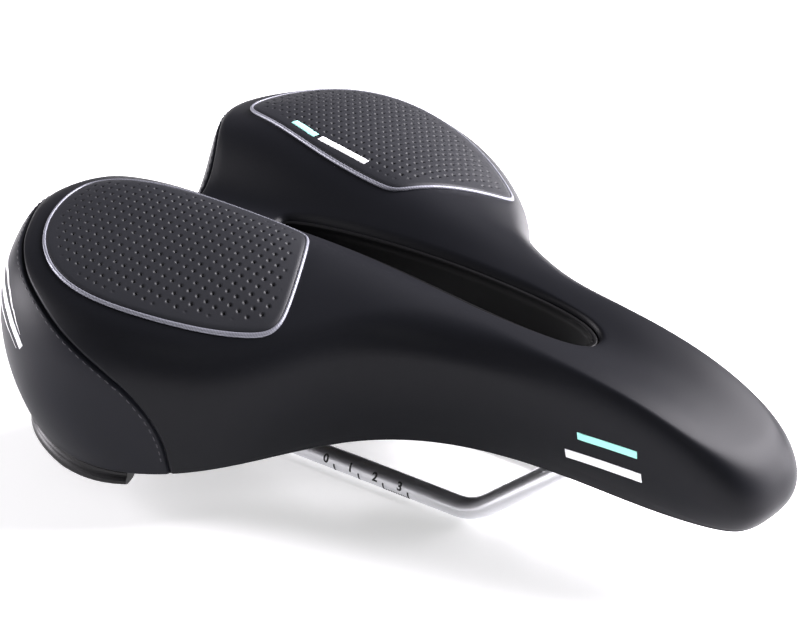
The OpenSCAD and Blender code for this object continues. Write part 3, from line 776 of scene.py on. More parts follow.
class Covers:
    """Front cover and rear cover: two skins that meet at a stitched seam."""

    def __init__(self, skin: Skin) -> None:
        """Keep the measured surface."""
        self.skin = skin

    def _grid(self) -> tuple[Array, int]:
        """Points of the whole skin, hem to channel, and the row that lies on the seam."""
        skin, sz, form = self.skin, self.skin.sizes, self.skin.form
        close = np.array(sz.close_rows)
        below, above = 22, 44
        columns = []
        edge, slot = form.edge_loop(), form.slot_loop()
        for c, share in enumerate(skin.shares):
            seam = skin.seam_run[c]
            base = form.hem(np.array([share]), np.zeros(1), np.zeros(1))[0]
            inward = form.hem(np.array([share]), np.ones(1), np.zeros(1))[0] - base
            room = seam - sz.hem_radius
            near = close[:-1] * min(1.0, max(room, 0.02) / (2 * close[-1]))
            far = near[-1] * close[-1] / close[-2]
            up = np.linspace(seam - room, seam - min(far, 0.6 * room), below)
            run = np.concatenate([up, (seam - near)[::-1]])
            s = form.place(np.array([share]), np.zeros(1))
            mouth = loop_at(slot, s)[0]
            span = np.linalg.norm(mouth - loop_at(edge, s)[0])
            end_v = 1 - sz.roll_radius / span
            end = np.interp(end_v, skin.v_fine, skin.run[c])
            run = np.concatenate([run, seam + close[1:],
                                  np.linspace(seam + close[-1], end, above)[1:]])
            v = skin.v_at(c, run)
            theta = np.linspace(0, math.pi / 2, sz.roll_rows + 1)[1:]
            v = np.concatenate([v, 1 - sz.roll_radius * (1 - np.sin(theta)) / span])
            pts = form.point(Layer(), np.full(len(v), share), v)
            pts[-len(theta):, 2] -= sz.roll_radius * (1 - np.cos(theta))
            pts[-len(theta):, :2] += (mouth - loop_at(edge, s)[0])[None] / span * (
                sz.overhang * (1 - np.cos(theta)))[:, None]
            wall = np.repeat(pts[-1:], 3, axis=0)
            wall[:, 2] -= sz.lip_drop * np.array([0.25, 0.6, 1.0])
            phi = np.linspace(0, math.pi / 2, 5)[1:]
            curl = pts[0] + np.outer(1 - np.cos(phi), inward) * sz.hem_radius
            curl[:, 2] = base[2] + sz.hem_radius * (1 - np.sin(phi))
            columns.append(np.concatenate([curl[::-1], pts, wall]))
        return np.array(columns), 4 + below + len(close) - 2

    def build(self) -> dict[str, bpy.types.Object]:
        """Build both covers as closed skins.

        Returns:
            Piece name to object.
        """
        skin, sz = self.skin, self.skin.sizes
        grid, seam_row = self._grid()
        count, rows = grid.shape[:2]
        m = skin.middle
        normals = self._normals(grid)
        seam = skin.seam_points()
        gap = self._distance(grid.reshape(-1, 3), seam).reshape(count, rows)
        sink = sz.groove_depth * np.exp(-(gap / sz.groove_reach) ** 2)
        wave = (np.sin(grid[..., 0] / 9.1 + 1.3 * np.sin(grid[..., 1] / 14.0))
                * np.sin(grid[..., 1] / 11.3 + 0.9) + 0.6 * np.sin(grid[..., 0] / 23.0 + 2.0))
        fade = np.clip((np.arange(rows) - 6) / 10, 0, 1) * np.clip(
            (rows - 16 - np.arange(rows)) / 10, 0, 1)
        skin_out = grid + normals * (wave * sz.unevenness * fade - sink)[..., None]
        inner = grid - normals * (sz.thickness + sink)[..., None]
        behind = np.zeros((count, rows - 1), bool)
        back = np.r_[0:m, count - m:count]
        behind[back[:, None], np.arange(seam_row)[None]] = True
        pieces = {}
        for name, picked in (("rear_cover_skin", behind), ("front_cover_skin", ~behind)):
            pieces[name] = self._skin(name, skin_out, inner, picked)
        return pieces

    @staticmethod
    def _normals(grid: Array) -> Array:
        """Outward unit normals of a grid that closes round its first axis."""
        du = np.roll(grid, -1, axis=0) - np.roll(grid, 1, axis=0)
        dv = np.gradient(grid, axis=1)
        n = np.cross(du, dv)
        n /= np.linalg.norm(n, axis=-1, keepdims=True) + 1e-12
        middle = n[len(n) // 2, grid.shape[1] // 2]
        return n if middle[2] > 0 else -n

    @staticmethod
    def _distance(points: Array, line: Array) -> Array:
        """Distance of each point from the nearest sample of a line."""
        fine = np.concatenate([line[:-1] + (line[1:] - line[:-1]) * t for t in (0, 0.5)])
        tree = KDTree(len(fine))
        for i, p in enumerate(fine):
            tree.insert(p, i)
        tree.balance()
        return np.array([tree.find(p)[2] for p in points])

    @staticmethod
    def _skin(name: str, outer: Array, inner: Array, picked: Array) -> bpy.types.Object:
        """Close the picked cells of two layers into one skin.

        Args:
            name: name of the piece.
            outer: outer grid.
            inner: inner grid.
            picked: which cells belong to the piece.

        Returns:
            The closed skin.
        """
        count, rows = outer.shape[:2]
        total = count * rows
        faces = []

        def cell(i: int, j: int) -> bool:
            return 0 <= j < rows - 1 and bool(picked[i % count, j])

        for i, j in zip(*np.nonzero(picked)):
            a, b = i * rows + j, ((i + 1) % count) * rows + j
            faces.append((a, b, b + 1, a + 1))
            faces.append((a + total, a + 1 + total, b + 1 + total, b + total))
            for there, p, q in (((i, j - 1), a, b), ((i, j + 1), b + 1, a + 1),
                                ((i - 1, j), a + 1, a), ((i + 1, j), b, b + 1)):
                if not cell(*there):
                    faces.append((q, p, p + total, q + total))
        points = np.concatenate([outer.reshape(-1, 3), inner.reshape(-1, 3)])
        used, index = np.unique(np.array(faces).ravel(), return_inverse=True)
        obj = mesh_object(name, points[used], index.reshape(-1, 4))
        bm = bmesh.new()
        bm.from_mesh(obj.data)
        bmesh.ops.dissolve_degenerate(bm, dist=2e-6, edges=bm.edges)
        bm.to_mesh(obj.data)
        bm.free()
        return crease(turn_outwards(obj), 50)

    def dress(self, pieces: dict[str, bpy.types.Object], look: dict) -> None:
        """Paint the covers, and let them stand for the CAD covers."""
        paint(pieces["front_cover_skin"], look["cover"])
        paint(pieces["rear_cover_skin"], look["rear_cover"])
        for name, node in (("front_cover_skin", "front_cover"),
                           ("rear_cover_skin", "rear_cover")):
            obj = pieces[name]
            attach(obj, "root")
            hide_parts(node)


# ---------------------------------------------------------------- stitching
@dataclass(frozen=True)
class StitchSizes:
    """Sizes of the seam's stitches, in millimetres."""

    pitch: float = 3.0
    length: float = 1.7
    thread: float = 0.42
    offset: float = 1.15


class Stitching:
    """A row of thread stitches beside the seam."""

    def __init__(self, skin: Skin, sizes: StitchSizes, cover: bpy.types.Object) -> None:
        """Keep the seam, the stitch sizes and the rear cover that the thread lies on."""
        self.skin = skin
        self.sizes = sizes
        self.tree = surface_tree([cover])

    def _line(self) -> Array:
        """The stitches' line on the rear cover, beside the seam."""
        seam = self.skin.seam_points(700)
        way = np.gradient(seam, axis=0)
        way /= np.linalg.norm(way, axis=1, keepdims=True)
        out = []
        for p, d in zip(seam, way):
            hit = self.tree.find_nearest(Vector(p * MM))
            normal = Vector(p - np.array([-56.0, 0.0, 35.0])).normalized()
            side = normal.cross(Vector(d)).normalized()
            start = Vector(p * MM) + side * self.sizes.offset * MM + normal * 2 * MM
            hit = self.tree.find_nearest(start)
            out.append(np.array(hit[0] + normal * 0.02 * MM) / MM)
        return np.array(out)[12:-12]

    def _stitch(self) -> bpy.types.Object:
        """One stitch: a short thread whose ends dip into the skin."""
        sz = self.sizes
        x = np.linspace(-1, 1, 9)
        radius = sz.thread / 2 * np.sqrt(np.clip(1 - x ** 4, 0.05, 1))
        turn = np.arange(8) * math.pi / 4
        rings = np.stack([np.stack([np.full(8, a * sz.length / 2), r * np.cos(turn),
                                    r * np.sin(turn) - 0.12 * a * a * sz.thread], axis=1)
                          for a, r in zip(x, radius)])
        return sweep("stitch_shape", rings, closed=False)

    def build(self, material: bpy.types.Material) -> dict[str, bpy.types.Object]:
        """Lay the stitches along the seam with a node tree."""
        sz = self.sizes
        line = self._line()
        count = len(line)
        mesh = bpy.data.meshes.new("seam_line")
        mesh.from_pydata((line * MM).tolist(), [(i, i + 1) for i in range(count - 1)], [])
        carrier = bpy.data.objects.new("seam_line", mesh)
        bpy.context.scene.collection.objects.link(carrier)
        shape = self._stitch()
        tree = new_tree("stitch_row", {
            "Stitch": ("NodeSocketObject", None), "Pitch": ("NodeSocketFloat", 0.003),
            "Thread": ("NodeSocketMaterial", None)})
        source = add_node(tree, "NodeGroupInput")
        curve = add_node(tree, "GeometryNodeMeshToCurve", {"Mesh": source.outputs["Geometry"]})
        points = add_node(tree, "GeometryNodeResampleCurve", {
            "Curve": curve.outputs["Curve"], "Length": source.outputs["Pitch"]}, mode="LENGTH")
        tangent = add_node(tree, "GeometryNodeInputTangent")
        turned = add_node(tree, "FunctionNodeAlignRotationToVector",
                          {"Vector": tangent.outputs["Tangent"]}, axis="X")
        info = add_node(tree, "GeometryNodeObjectInfo", {"Object": source.outputs["Stitch"]})
        placed = add_node(tree, "GeometryNodeInstanceOnPoints", {
            "Points": points.outputs["Curve"], "Instance": info.outputs["Geometry"],
            "Rotation": turned.outputs["Rotation"]})
        real = add_node(tree, "GeometryNodeRealizeInstances",
                        {"Geometry": placed.outputs["Instances"]})
        dyed = add_node(tree, "GeometryNodeSetMaterial", {
            "Geometry": real.outputs["Geometry"], "Material": source.outputs["Thread"]})
        add_node(tree, "NodeGroupOutput", {"Geometry": dyed.outputs["Geometry"]})
        row = apply_nodes(carrier, tree, {"Stitch": shape, "Pitch": sz.pitch * MM,
                                          "Thread": material}, "seam_stitches")
        bpy.data.objects.remove(shape)
        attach(row, "root")
        return {"seam_stitches": row}


# ---------------------------------------------------------------- seat panels
@dataclass(frozen=True)
class PanelSizes:
    """Sizes of a seat panel, its dimples and its piping, in millimetres."""

    outline: tuple = ((-107.7, 38), (-99.8, 64.6), (-85, 83.5), (-64, 90.2), (-33, 80),
                      (-14, 67), (-8.5, 61), (-9.8, 53.5), (-18, 36), (-26, 23), (-31, 21),
                      (-60, 24), (-90, 32))
    step: float = 0.33
    step_under: float = 4.0
    lift: float = 0.3
    bulge: float = 0.75
    edge_roll: float = 1.6
    column_step: tuple = (3.3, -0.15)
    row_step: tuple = (0.3, 3.45)
    dimple_radius: float = 0.85
    dimple_depth: float = 0.7
    plain_edge: float = 3.0
    piping_width: float = 1.1
    piping_height: float = 1.0


class SeatPanels:
    """The two dimpled panels on the lobes, each in its piping."""

    def __init__(self, form: SeatForm, sizes: PanelSizes) -> None:
        """Keep the seat's form and the panel sizes."""
        self.form = form
        self.sizes = sizes

    def _outline(self, inset: float, count: int) -> Array:
        """The left panel's outline, set in by a distance."""
        ctrl = np.array(self.sizes.outline, float) * [self.form.kx, self.form.ky]
        s = np.arange(count) / count
        return loop_at(ctrl, s) + inward_of(ctrl, s)[:, :] * inset

    def _patch(self, name: str, side: int) -> bpy.types.Object:
        """A fine, plain panel with its distance to the rim kept as an attribute."""
        sz = self.sizes
        rim = self._outline(sz.piping_width / 2 - 0.2, 460)
        plan, tri = self._fill(rim, sz.step)
        under, low = self._fill(rim, sz.step_under)
        edge = self._to_rim(plan, rim)
        lift = sz.lift + sz.bulge * (1 - np.exp(-edge / 9.0)) + 0.75 * np.sqrt(
            1 - (1 - np.clip(edge / sz.edge_roll, 0, 1)) ** 2)
        upper = np.column_stack([plan[:, 0], side * plan[:, 1], self.form.top(plan) + lift])
        lower = np.column_stack([under[:, 0], side * under[:, 1],
                                 self.form.top(under) + 0.05])
        total, count = len(plan), len(rim)
        faces = [list(f) for f in tri] + [[a + total for a in f[::-1]] for f in low]
        faces += [[(a + 1) % count, a, a + total, (a + 1) % count + total]
                  for a in range(count)]
        obj = turn_outwards(mesh_object(name, np.concatenate([upper, lower]), faces))
        attr = obj.data.attributes.new("rim_distance", "FLOAT", "POINT")
        attr.data.foreach_set("value", np.concatenate([edge, np.zeros(len(lower))]) * MM)
        return crease(obj, 60)

    def _fill(self, rim: Array, step: float) -> tuple[Array, Array]:
        """Triangulate the inside of an outline with an even mesh.

        Args:
            rim: the outline, whose points come first in the result.
            step: mesh size in millimetres.

        Returns:
            Plan points and triangles.
        """
        low, high = rim.min(axis=0), rim.max(axis=0)
        xs = np.arange(low[0], high[0], step)
        ys = np.arange(low[1], high[1], step * math.sqrt(3) / 2)
        grid = np.array([(x + (step / 2 if j % 2 else 0), y)
                         for j, y in enumerate(ys) for x in xs])
        grid = grid[self._inside(grid, rim)]
        grid = grid[self._to_rim(grid, rim) > step * 0.6]
        plan = np.concatenate([rim, grid])
        edges = [(i, (i + 1) % len(rim)) for i in range(len(rim))]
        out = delaunay_2d_cdt([Vector(p) for p in plan], edges, [], 1, 1e-6)
        return np.array([tuple(p) for p in out[0]]), np.array([list(f) for f in out[2]])

    @staticmethod
    def _inside(points: Array, rim: Array) -> Array:
        """Whether points lie inside a closed outline."""
        a, b = rim, np.roll(rim, -1, axis=0)
        out = np.zeros(len(points), bool)
        for i in range(0, len(points), 4000):
            p = points[i:i + 4000, None, :]
            cross = (a[None, :, 1] > p[..., 1]) != (b[None, :, 1] > p[..., 1])
            at = a[:, 0] + (p[..., 1] - a[:, 1]) * (b[:, 0] - a[:, 0]) / (
                b[:, 1] - a[:, 1] + 1e-12)
            out[i:i + 4000] = ((cross & (p[..., 0] < at)).sum(axis=1) % 2) == 1
        return out

    @staticmethod
    def _to_rim(points: Array, rim: Array) -> Array:
        """Distance of each plan point from the outline."""
        mids = np.concatenate([rim, (rim + np.roll(rim, -1, axis=0)) / 2])
        tree = KDTree(len(mids))
        for i, p in enumerate(mids):
            tree.insert((p[0], p[1], 0), i)
        tree.balance()
        return np.array([tree.find((p[0], p[1], 0))[2] for p in points])

    def _dimple_tree(self) -> bpy.types.NodeTree:
        """A node tree that presses a lattice of round dimples into a panel."""
        tree = new_tree("dimples", {
            "Column step": ("NodeSocketVector", (0, 0, 0)),
            "Row step": ("NodeSocketVector", (0, 0, 0)),
            "Radius": ("NodeSocketFloat", 0.001), "Depth": ("NodeSocketFloat", 0.0005),
            "Plain edge": ("NodeSocketFloat", 0.003), "Surface": ("NodeSocketMaterial", None)})
        source = add_node(tree, "NodeGroupInput")

        def calc(op: str, *values: object) -> bpy.types.NodeSocket:
            node = add_node(tree, "ShaderNodeMath", dict(enumerate(values)), operation=op)
            return node.outputs["Value"]

        place = add_node(tree, "ShaderNodeSeparateXYZ",
                         {"Vector": add_node(tree, "GeometryNodeInputPosition").outputs[0]})
        col = add_node(tree, "ShaderNodeSeparateXYZ",
                       {"Vector": source.outputs["Column step"]}).outputs
        row = add_node(tree, "ShaderNodeSeparateXYZ",
                       {"Vector": source.outputs["Row step"]}).outputs
        x = place.outputs["X"]
        y = calc("ABSOLUTE", place.outputs["Y"])

        def cross(a: object, b: object, c: object, d: object) -> bpy.types.NodeSocket:
            return calc("SUBTRACT", calc("MULTIPLY", a, b), calc("MULTIPLY", c, d))

        area = cross(col["X"], row["Y"], col["Y"], row["X"])
        i = calc("DIVIDE", cross(x, row["Y"], y, row["X"]), area)
        j = calc("DIVIDE", cross(y, col["X"], x, col["Y"]), area)
        i = calc("SUBTRACT", i, calc("ROUND", i))
        j = calc("SUBTRACT", j, calc("ROUND", j))
        dx = calc("ADD", calc("MULTIPLY", i, col["X"]), calc("MULTIPLY", j, row["X"]))
        dy = calc("ADD", calc("MULTIPLY", i, col["Y"]), calc("MULTIPLY", j, row["Y"]))
        far = calc("SQRT", calc("ADD", calc("MULTIPLY", dx, dx), calc("MULTIPLY", dy, dy)))
        hollow = add_node(tree, "ShaderNodeMapRange", {
            "Value": far, "From Min": 0.0, "From Max": source.outputs["Radius"],
            "To Min": 1.0, "To Max": 0.0}, interpolation_type="SMOOTHSTEP")
        rim = add_node(tree, "GeometryNodeInputNamedAttribute", {"Name": "rim_distance"},
                       data_type="FLOAT")
        fade = add_node(tree, "ShaderNodeMapRange", {
            "Value": rim.outputs["Attribute"], "From Min": source.outputs["Plain edge"],
            "From Max": calc("MULTIPLY", source.outputs["Plain edge"], 1.6),
            "To Min": 0.0, "To Max": 1.0}, interpolation_type="SMOOTHSTEP")
        pit = calc("MULTIPLY", hollow.outputs["Result"], fade.outputs["Result"])
        depth = calc("MULTIPLY", pit, source.outputs["Depth"])
        offset = add_node(tree, "ShaderNodeVectorMath", {
            0: add_node(tree, "GeometryNodeInputNormal").outputs["Normal"],
            "Scale": calc("MULTIPLY", depth, -1.0)}, operation="SCALE")
        # keep each point's dimple share as the pit attribute: it sets the depth here, and the
        # panel's material paints shade into the dimples from it
        marked = add_node(tree, "GeometryNodeStoreNamedAttribute", {
            "Geometry": source.outputs["Geometry"], "Name": "pit", "Value": pit},
            data_type="FLOAT", domain="POINT")
        moved = add_node(tree, "GeometryNodeSetPosition", {
            "Geometry": marked.outputs["Geometry"], "Offset": offset.outputs["Vector"]})
        real = add_node(tree, "GeometryNodeRealizeInstances",
                        {"Geometry": moved.outputs["Geometry"]})
        dyed = add_node(tree, "GeometryNodeSetMaterial", {
            "Geometry": real.outputs["Geometry"], "Material": source.outputs["Surface"]})
        add_node(tree, "NodeGroupOutput", {"Geometry": dyed.outputs["Geometry"]})
        return tree

    def _piping(self, name: str, side: int) -> bpy.types.Object:
        """The piping round a panel: a domed tube that follows the seat."""
        sz = self.sizes
        count = 420
        sections = []
        half = sz.piping_width / 2
        for turn in np.linspace(0, 2 * math.pi, 13)[:-1]:
            plan = self._outline(half * math.cos(turn), count)
            rise = (sz.piping_height + 0.2) / 2 * (1 + math.sin(turn)) - 0.2
            sections.append(np.column_stack([plan[:, 0], side * plan[:, 1],
                                             self.form.top(plan) + rise]))
        return sweep(name, np.array(sections).transpose(1, 0, 2), closed=True)

    def build(self, look: dict) -> dict[str, bpy.types.Object]:
        """Build both panels and both pipings, and let them stand for the CAD's."""
        sz = self.sizes
        tree = self._dimple_tree()
        pieces = {}
        for side, word in ((1, "left"), (-1, "right")):
            plain = self._patch(f"seat_panel_{word}_plain", side)
            panel = apply_nodes(plain, tree, {
                "Column step": (sz.column_step[0] * MM, sz.column_step[1] * MM, 0.0),
                "Row step": (sz.row_step[0] * MM, sz.row_step[1] * MM, 0.0),
                "Radius": sz.dimple_radius * MM, "Depth": sz.dimple_depth * MM,
                "Plain edge": sz.plain_edge * MM, "Surface": look["panel"]},
                f"seat_panel_{word}_dimpled")
            trim = self._piping(f"panel_piping_{word}_braided", side)
            paint(trim, look["piping"])
            for obj, node, slot in ((panel, f"seat_panel_{word}", "panel"),
                                    (trim, f"panel_piping_{word}", "piping")):
                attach(obj, "root")
                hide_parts(node)
                pieces[obj.name] = obj
        return pieces


# ---------------------------------------------------------------- channel liner
@dataclass(frozen=True)
class LinerSizes:
    """Sizes of the relief channel's lip and wall, in millimetres."""

    lip: float = 2.3
    lip_below_rim: float = 1.5
    wall: float = 1.7
    gap: float = 0.65
    shell_depth: float = 6.7
    around: int = 480


class ChannelLiner:
    """The moulded ring that lines the relief channel."""

    def __init__(self, form: SeatForm, sizes: LinerSizes) -> None:
        """Keep the seat's form and the liner's sizes."""
        self.form = form
        self.sizes = sizes

    def build(self, material: bpy.types.Material) -> dict[str, bpy.types.Object]:
        """Build the liner as one closed ring."""
        sz, form = self.sizes, self.form
        s = np.arange(sz.around) / sz.around
        slot = form.slot_loop()
        rim, inward = loop_at(slot, s), inward_of(slot, s)
        top = form.height(rim[:, 0], rim[:, 1]) - sz.lip_below_rim
        foot = form.height(rim[:, 0], rim[:, 1]) - form.foam_depth(rim[:, 0]) - sz.shell_depth
        r = 0.5
        arc = np.linspace(0, math.pi / 2, 5)
        shape = [(sz.gap, None)]
        shape += [(sz.gap + r * (1 - math.cos(a)), r * (math.sin(a) - 1)) for a in arc]
        shape += [(sz.lip - r + r * math.sin(a), r * (math.cos(a) - 1)) for a in arc]
        shape += [(sz.lip, -1.6), (sz.wall + 0.3, -2.6), (sz.wall, -4.0), (sz.wall, None)]
        rows = []
        for inset, drop in shape:
            plan = rim + inward * inset
            z = foot if drop is None else top + drop
            rows.append(np.column_stack([plan, z]))
        ring = sweep("channel_liner_moulded", np.array(rows).transpose(1, 0, 2), closed=True)
        crease(ring, 40)
        paint(ring, material)
        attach(ring, "root")
        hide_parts("channel_liner")
        return {ring.name: ring}


# ---------------------------------------------------------------- rails
@dataclass(frozen=True)
class RailSizes:
    """Path and section of the rails, and their graduation, in millimetres."""

    radius: float = 3.5
    gauge: float = 44.0
    straight: float = 64.0
    bend: float = 18.0
    rear_end: float = -92.0
    rear_leg: tuple = (-54.0, -14.0, 36.0)
    front_leg: tuple = (38.0, 11.0, 29.0)
    front_end: tuple = (118.0, -6.5, 31.0)
    sides: int = 48
    bend_steps: int = 18
    ticks: tuple = (-15.0, -5.0, 5.0, 15.0)
    digit_height: float = 3.0
    tick_width: float = 0.6


class Rails:
    """Two bent steel wires, the right-hand one graduated for the clamp."""

    def __init__(self, sizes: RailSizes) -> None:
        """Keep the rail sizes."""
        self.sizes = sizes

    def _path(self) -> list[Array]:
        """Corner points of the right-hand rail, rear to front."""
        sz = self.sizes
        rear, front = np.array(sz.rear_leg), np.array(sz.front_leg)

        def trim(leg: Array) -> float:
            return sz.bend * math.tan(math.acos(abs(leg[0]) / np.linalg.norm(leg)) / 2)

        a = np.array([-sz.straight / 2 - trim(rear), -sz.gauge / 2, 0])
        b = np.array([sz.straight / 2 + trim(front), -sz.gauge / 2, 0])
        return [a + rear * ((sz.rear_end - a[0]) / rear[0]), a, b, b + front,
                np.array(sz.front_end)]

    def _stations(self) -> tuple[Array, Array]:
        """Places and directions along the wire's centre line."""
        path = self._path()
        places, ways = [path[0]], [path[1] - path[0]]
        for a, b, c in zip(path, path[1:], path[2:]):
            u, w = (b - a) / np.linalg.norm(b - a), (c - b) / np.linalg.norm(c - b)
            turn = math.acos(float(u @ w))
            axis = np.cross(u, w)
            axis /= np.linalg.norm(axis)
            side = np.cross(axis, u)
            start = b - u * self.sizes.bend * math.tan(turn / 2)
            for t in np.linspace(0, turn, self.sizes.bend_steps):
                places.append(start + self.sizes.bend * (u * math.sin(t)
                                                         + side * (1 - math.cos(t))))
                ways.append(u * math.cos(t) + side * math.sin(t))
        places.append(path[-1])
        ways.append(path[-1] - path[-2])
        ways = np.array(ways)
        return np.array(places), ways / np.linalg.norm(ways, axis=1, keepdims=True)

    def _wire(self, name: str, side: int) -> bpy.types.Object:
        """The wire as a smooth tube, mirrored for the left-hand side."""
        places, ways = self._stations()
        turn = np.arange(self.sizes.sides) * 2 * math.pi / self.sizes.sides
        sections = []
        for p, d in zip(places, ways):
            u = np.cross(d, [0, 1, 0])
            u /= np.linalg.norm(u)
            v = np.cross(d, u)
            sections.append(p + self.sizes.radius * (np.outer(np.cos(turn), u)
                                                     + np.outer(np.sin(turn), v)))
        flip = np.array([1, -side, 1])
        return crease(sweep(name, np.array(sections) * flip, closed=False), 40)

    def _wrap(self, obj: bpy.types.Object, angle: float) -> None:
        """Bend a flat print round the right-hand rail.

        Args:
            obj: mesh in the plane, x along the rail and y round it, in metres.
            angle: where its middle lies, in radians over the outward horizontal.
        """
        sz = self.sizes
        r = (sz.radius + 0.035) * MM
        for vertex in obj.data.vertices:
            x, y, z = vertex.co
            a = angle + y / r
            vertex.co = (x, -sz.gauge / 2 * MM - (r + z) * math.cos(a), (r + z) * math.sin(a))
        obj.data.update()

    def _plate(self, name: str, x0: float, x1: float, y0: float, y1: float) -> bpy.types.Object:
        """A thin flat bar of print, cut finely enough to bend, in millimetres."""
        n = max(2, int((y1 - y0) / 0.3))
        ys = np.linspace(y0, y1, n + 1)
        points = [(x, y, z) for z in (0.0, 0.03) for y in ys for x in (x0, x1)]
        m = 2 * (n + 1)
        faces = []
        for i in range(n):
            a = 2 * i
            faces += [(a, a + 2, a + 3, a + 1), (a + m, a + 1 + m, a + 3 + m, a + 2 + m),
                      (a, a + m, a + 2 + m, a + 2), (a + 1, a + 3, a + 3 + m, a + 1 + m)]
        faces += [(0, 1, 1 + m, m), (m - 2, 2 * m - 2, 2 * m - 1, m - 1)]
        return turn_outwards(mesh_object(name, points, faces, smooth=False))

    def _digit(self, number: int, x: float) -> bpy.types.Object:
        """A digit as a thin closed mesh whose middle is at x millimetres."""
        curve = bpy.data.curves.new(f"digit_{number}", "FONT")
        curve.body = str(number)
        curve.size = self.sizes.digit_height / 0.72 * MM
        curve.align_x = "CENTER"
        curve.align_y = "CENTER"
        curve.offset = 0.16 * MM
        curve.extrude = 0.015 * MM
        curve.resolution_u = 6
        carrier = bpy.data.objects.new("digit_carrier", curve)
        bpy.context.scene.collection.objects.link(carrier)
        depsgraph = bpy.context.evaluated_depsgraph_get()
        mesh = bpy.data.meshes.new_from_object(carrier.evaluated_get(depsgraph))
        bpy.data.objects.remove(carrier)
        obj = bpy.data.objects.new(f"rail_digit_{number}", mesh)
        bpy.context.scene.collection.objects.link(obj)
        for vertex in mesh.vertices:
            vertex.co.x += x * MM
        bm = bmesh.new()
        bm.from_mesh(mesh)
        long = [e for e in bm.edges if e.calc_length() > 0.6 * MM]
        bmesh.ops.subdivide_edges(bm, edges=long, cuts=3)
        bmesh.ops.triangulate(bm, faces=bm.faces)
        bmesh.ops.remove_doubles(bm, verts=bm.verts, dist=1e-7)
        bm.to_mesh(mesh)
        bm.free()
        return obj

    def build(self, look: dict) -> dict[str, bpy.types.Object]:
        """Build both wires and the graduation."""
        sz = self.sizes
        pieces = {}
        for side, word in ((1, "left"), (-1, "right")):
            wire = self._wire(f"rail_{word}_wire", side)
            paint(wire, look["rail"])
            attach(wire, "root")
            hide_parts(f"rail_{word}")
            pieces[wire.name] = wire
        middle = math.radians(-4)
        half = sz.radius
        for i, x in enumerate(sz.ticks):
            tick = self._plate(f"rail_tick_{i}", x - sz.tick_width / 2, x + sz.tick_width / 2,
                               -0.75 * half, 0.12 * half)
            digit = self._digit(i, x - 3.4)
            for obj, angle in ((tick, middle), (digit, middle + 0.35)):
                self._wrap(obj, angle)
                pieces[obj.name] = obj
        for i in range(1, 10):
            fine = self._plate(f"rail_fine_tick_{i}", 5 + i - 0.2, 5 + i + 0.2,
                               -0.75 * half, -0.45 * half)
            self._wrap(fine, middle)
            pieces[fine.name] = fine
        for name, obj in pieces.items():
            if "wire" not in name:
                paint(obj, look["dark_ink"])
                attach(obj, "root")
        return pieces


# ---------------------------------------------------------------- scuff guard
@dataclass(frozen=True)
class GuardSizes:
    """Section and reach of the scuff guard, in millimetres."""

    height: float = 7.0
    top_gap: float = 0.4
    reach: float = 14 / 36
    taper: float = 14.6 / 36
    around: int = 260
    section: tuple = ((9.5, 0.0), (9.3, 0.55), (7.5, 0.98), (2.6, 1.0), (0.7, 0.9),
                      (0.35, 0.72), (0.75, 0.5), (1.7, 0.38), (1.9, 0.0))


class ScuffGuard:
    """The hard strip under the rear edge, with a groove above its lip."""

    def __init__(self, form: SeatForm, sizes: GuardSizes) -> None:
        """Keep the seat's form and the guard's sizes."""
        self.form = form
        self.sizes = sizes

    def build(self, material: bpy.types.Material) -> dict[str, bpy.types.Object]:
        """Sweep the guard's rounded section round the tail."""
        sz = self.sizes
        ctrl = np.array(sz.section)
        for _ in range(2):
            nxt = np.roll(ctrl, -1, axis=0)
            ctrl = np.stack([0.75 * ctrl + 0.25 * nxt, 0.25 * ctrl + 0.75 * nxt],
                            axis=1).reshape(-1, 2)
        t = np.linspace(-1, 1, sz.around)
        share = sz.reach * np.sign(t) * (1 - (1 - np.abs(t)) ** 1.6)
        left = np.clip(1 - np.abs(share) / sz.taper, 0, 1)
        size = np.minimum(1, 0.25 + 1.98 * np.sqrt(left))
        rows = [self.form.hem(share, np.full(len(t), inset), -sz.top_gap
                              - drop * sz.height * size) for inset, drop in ctrl]
        strip = sweep("scuff_guard_moulded", np.array(rows).transpose(1, 0, 2), closed=False)
        crease(strip, 45)
        paint(strip, material)
        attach(strip, "root")
        return {strip.name: strip}


# ---------------------------------------------------------------- prints
class Mark(Enum):
    """Shapes of the printed marks."""

    TAPERED = "tapered"
    BLUNT = "blunt"
    BAR = "bar"


@dataclass(frozen=True)
class Stroke:
    """A printed stroke: a line over the surface with a width, in millimetres."""

    name: str
    line: tuple
    width: float
    mark: Mark
    ink: str


@dataclass(frozen=True)
class PrintSizes:
    """The printed strokes of one side; the other side mirrors them."""

    proud: float = 0.06
    across: int = 6
    along: int = 60
    strokes: tuple = (
        Stroke("stripe_upper", ((-117.5, -45, 66), (-110.5, -66, 69.5), (-101, -81, 69.5),
                                (-94.4, -87.9, 68.9), (-88.6, -93.2, 65.1),
                                (-83.9, -96.6, 60.9), (-78.2, -98.9, 54.5)),
               2.1, Mark.TAPERED, "white_ink"),
        Stroke("stripe_middle", ((-119.5, -45, 61), (-112.5, -66, 64.5), (-102.5, -82, 65.0),
                                 (-94.5, -90.0, 63.2), (-88.5, -94.5, 59.8),
                                 (-82.5, -97.8, 54.8), (-77.6, -99.3, 49.7)),
               2.8, Mark.BLUNT, "white_ink"),
        Stroke("stripe_lower", ((-120.5, -45, 56), (-114, -66, 59.5), (-104.5, -82, 60.0),
                                (-97.0, -89.8, 58.2), (-91.5, -93.8, 55.4),
                                (-86.0, -96.9, 51.8), (-81.2, -98.4, 47.9)),
               1.6, Mark.TAPERED, "white_ink"),
    )


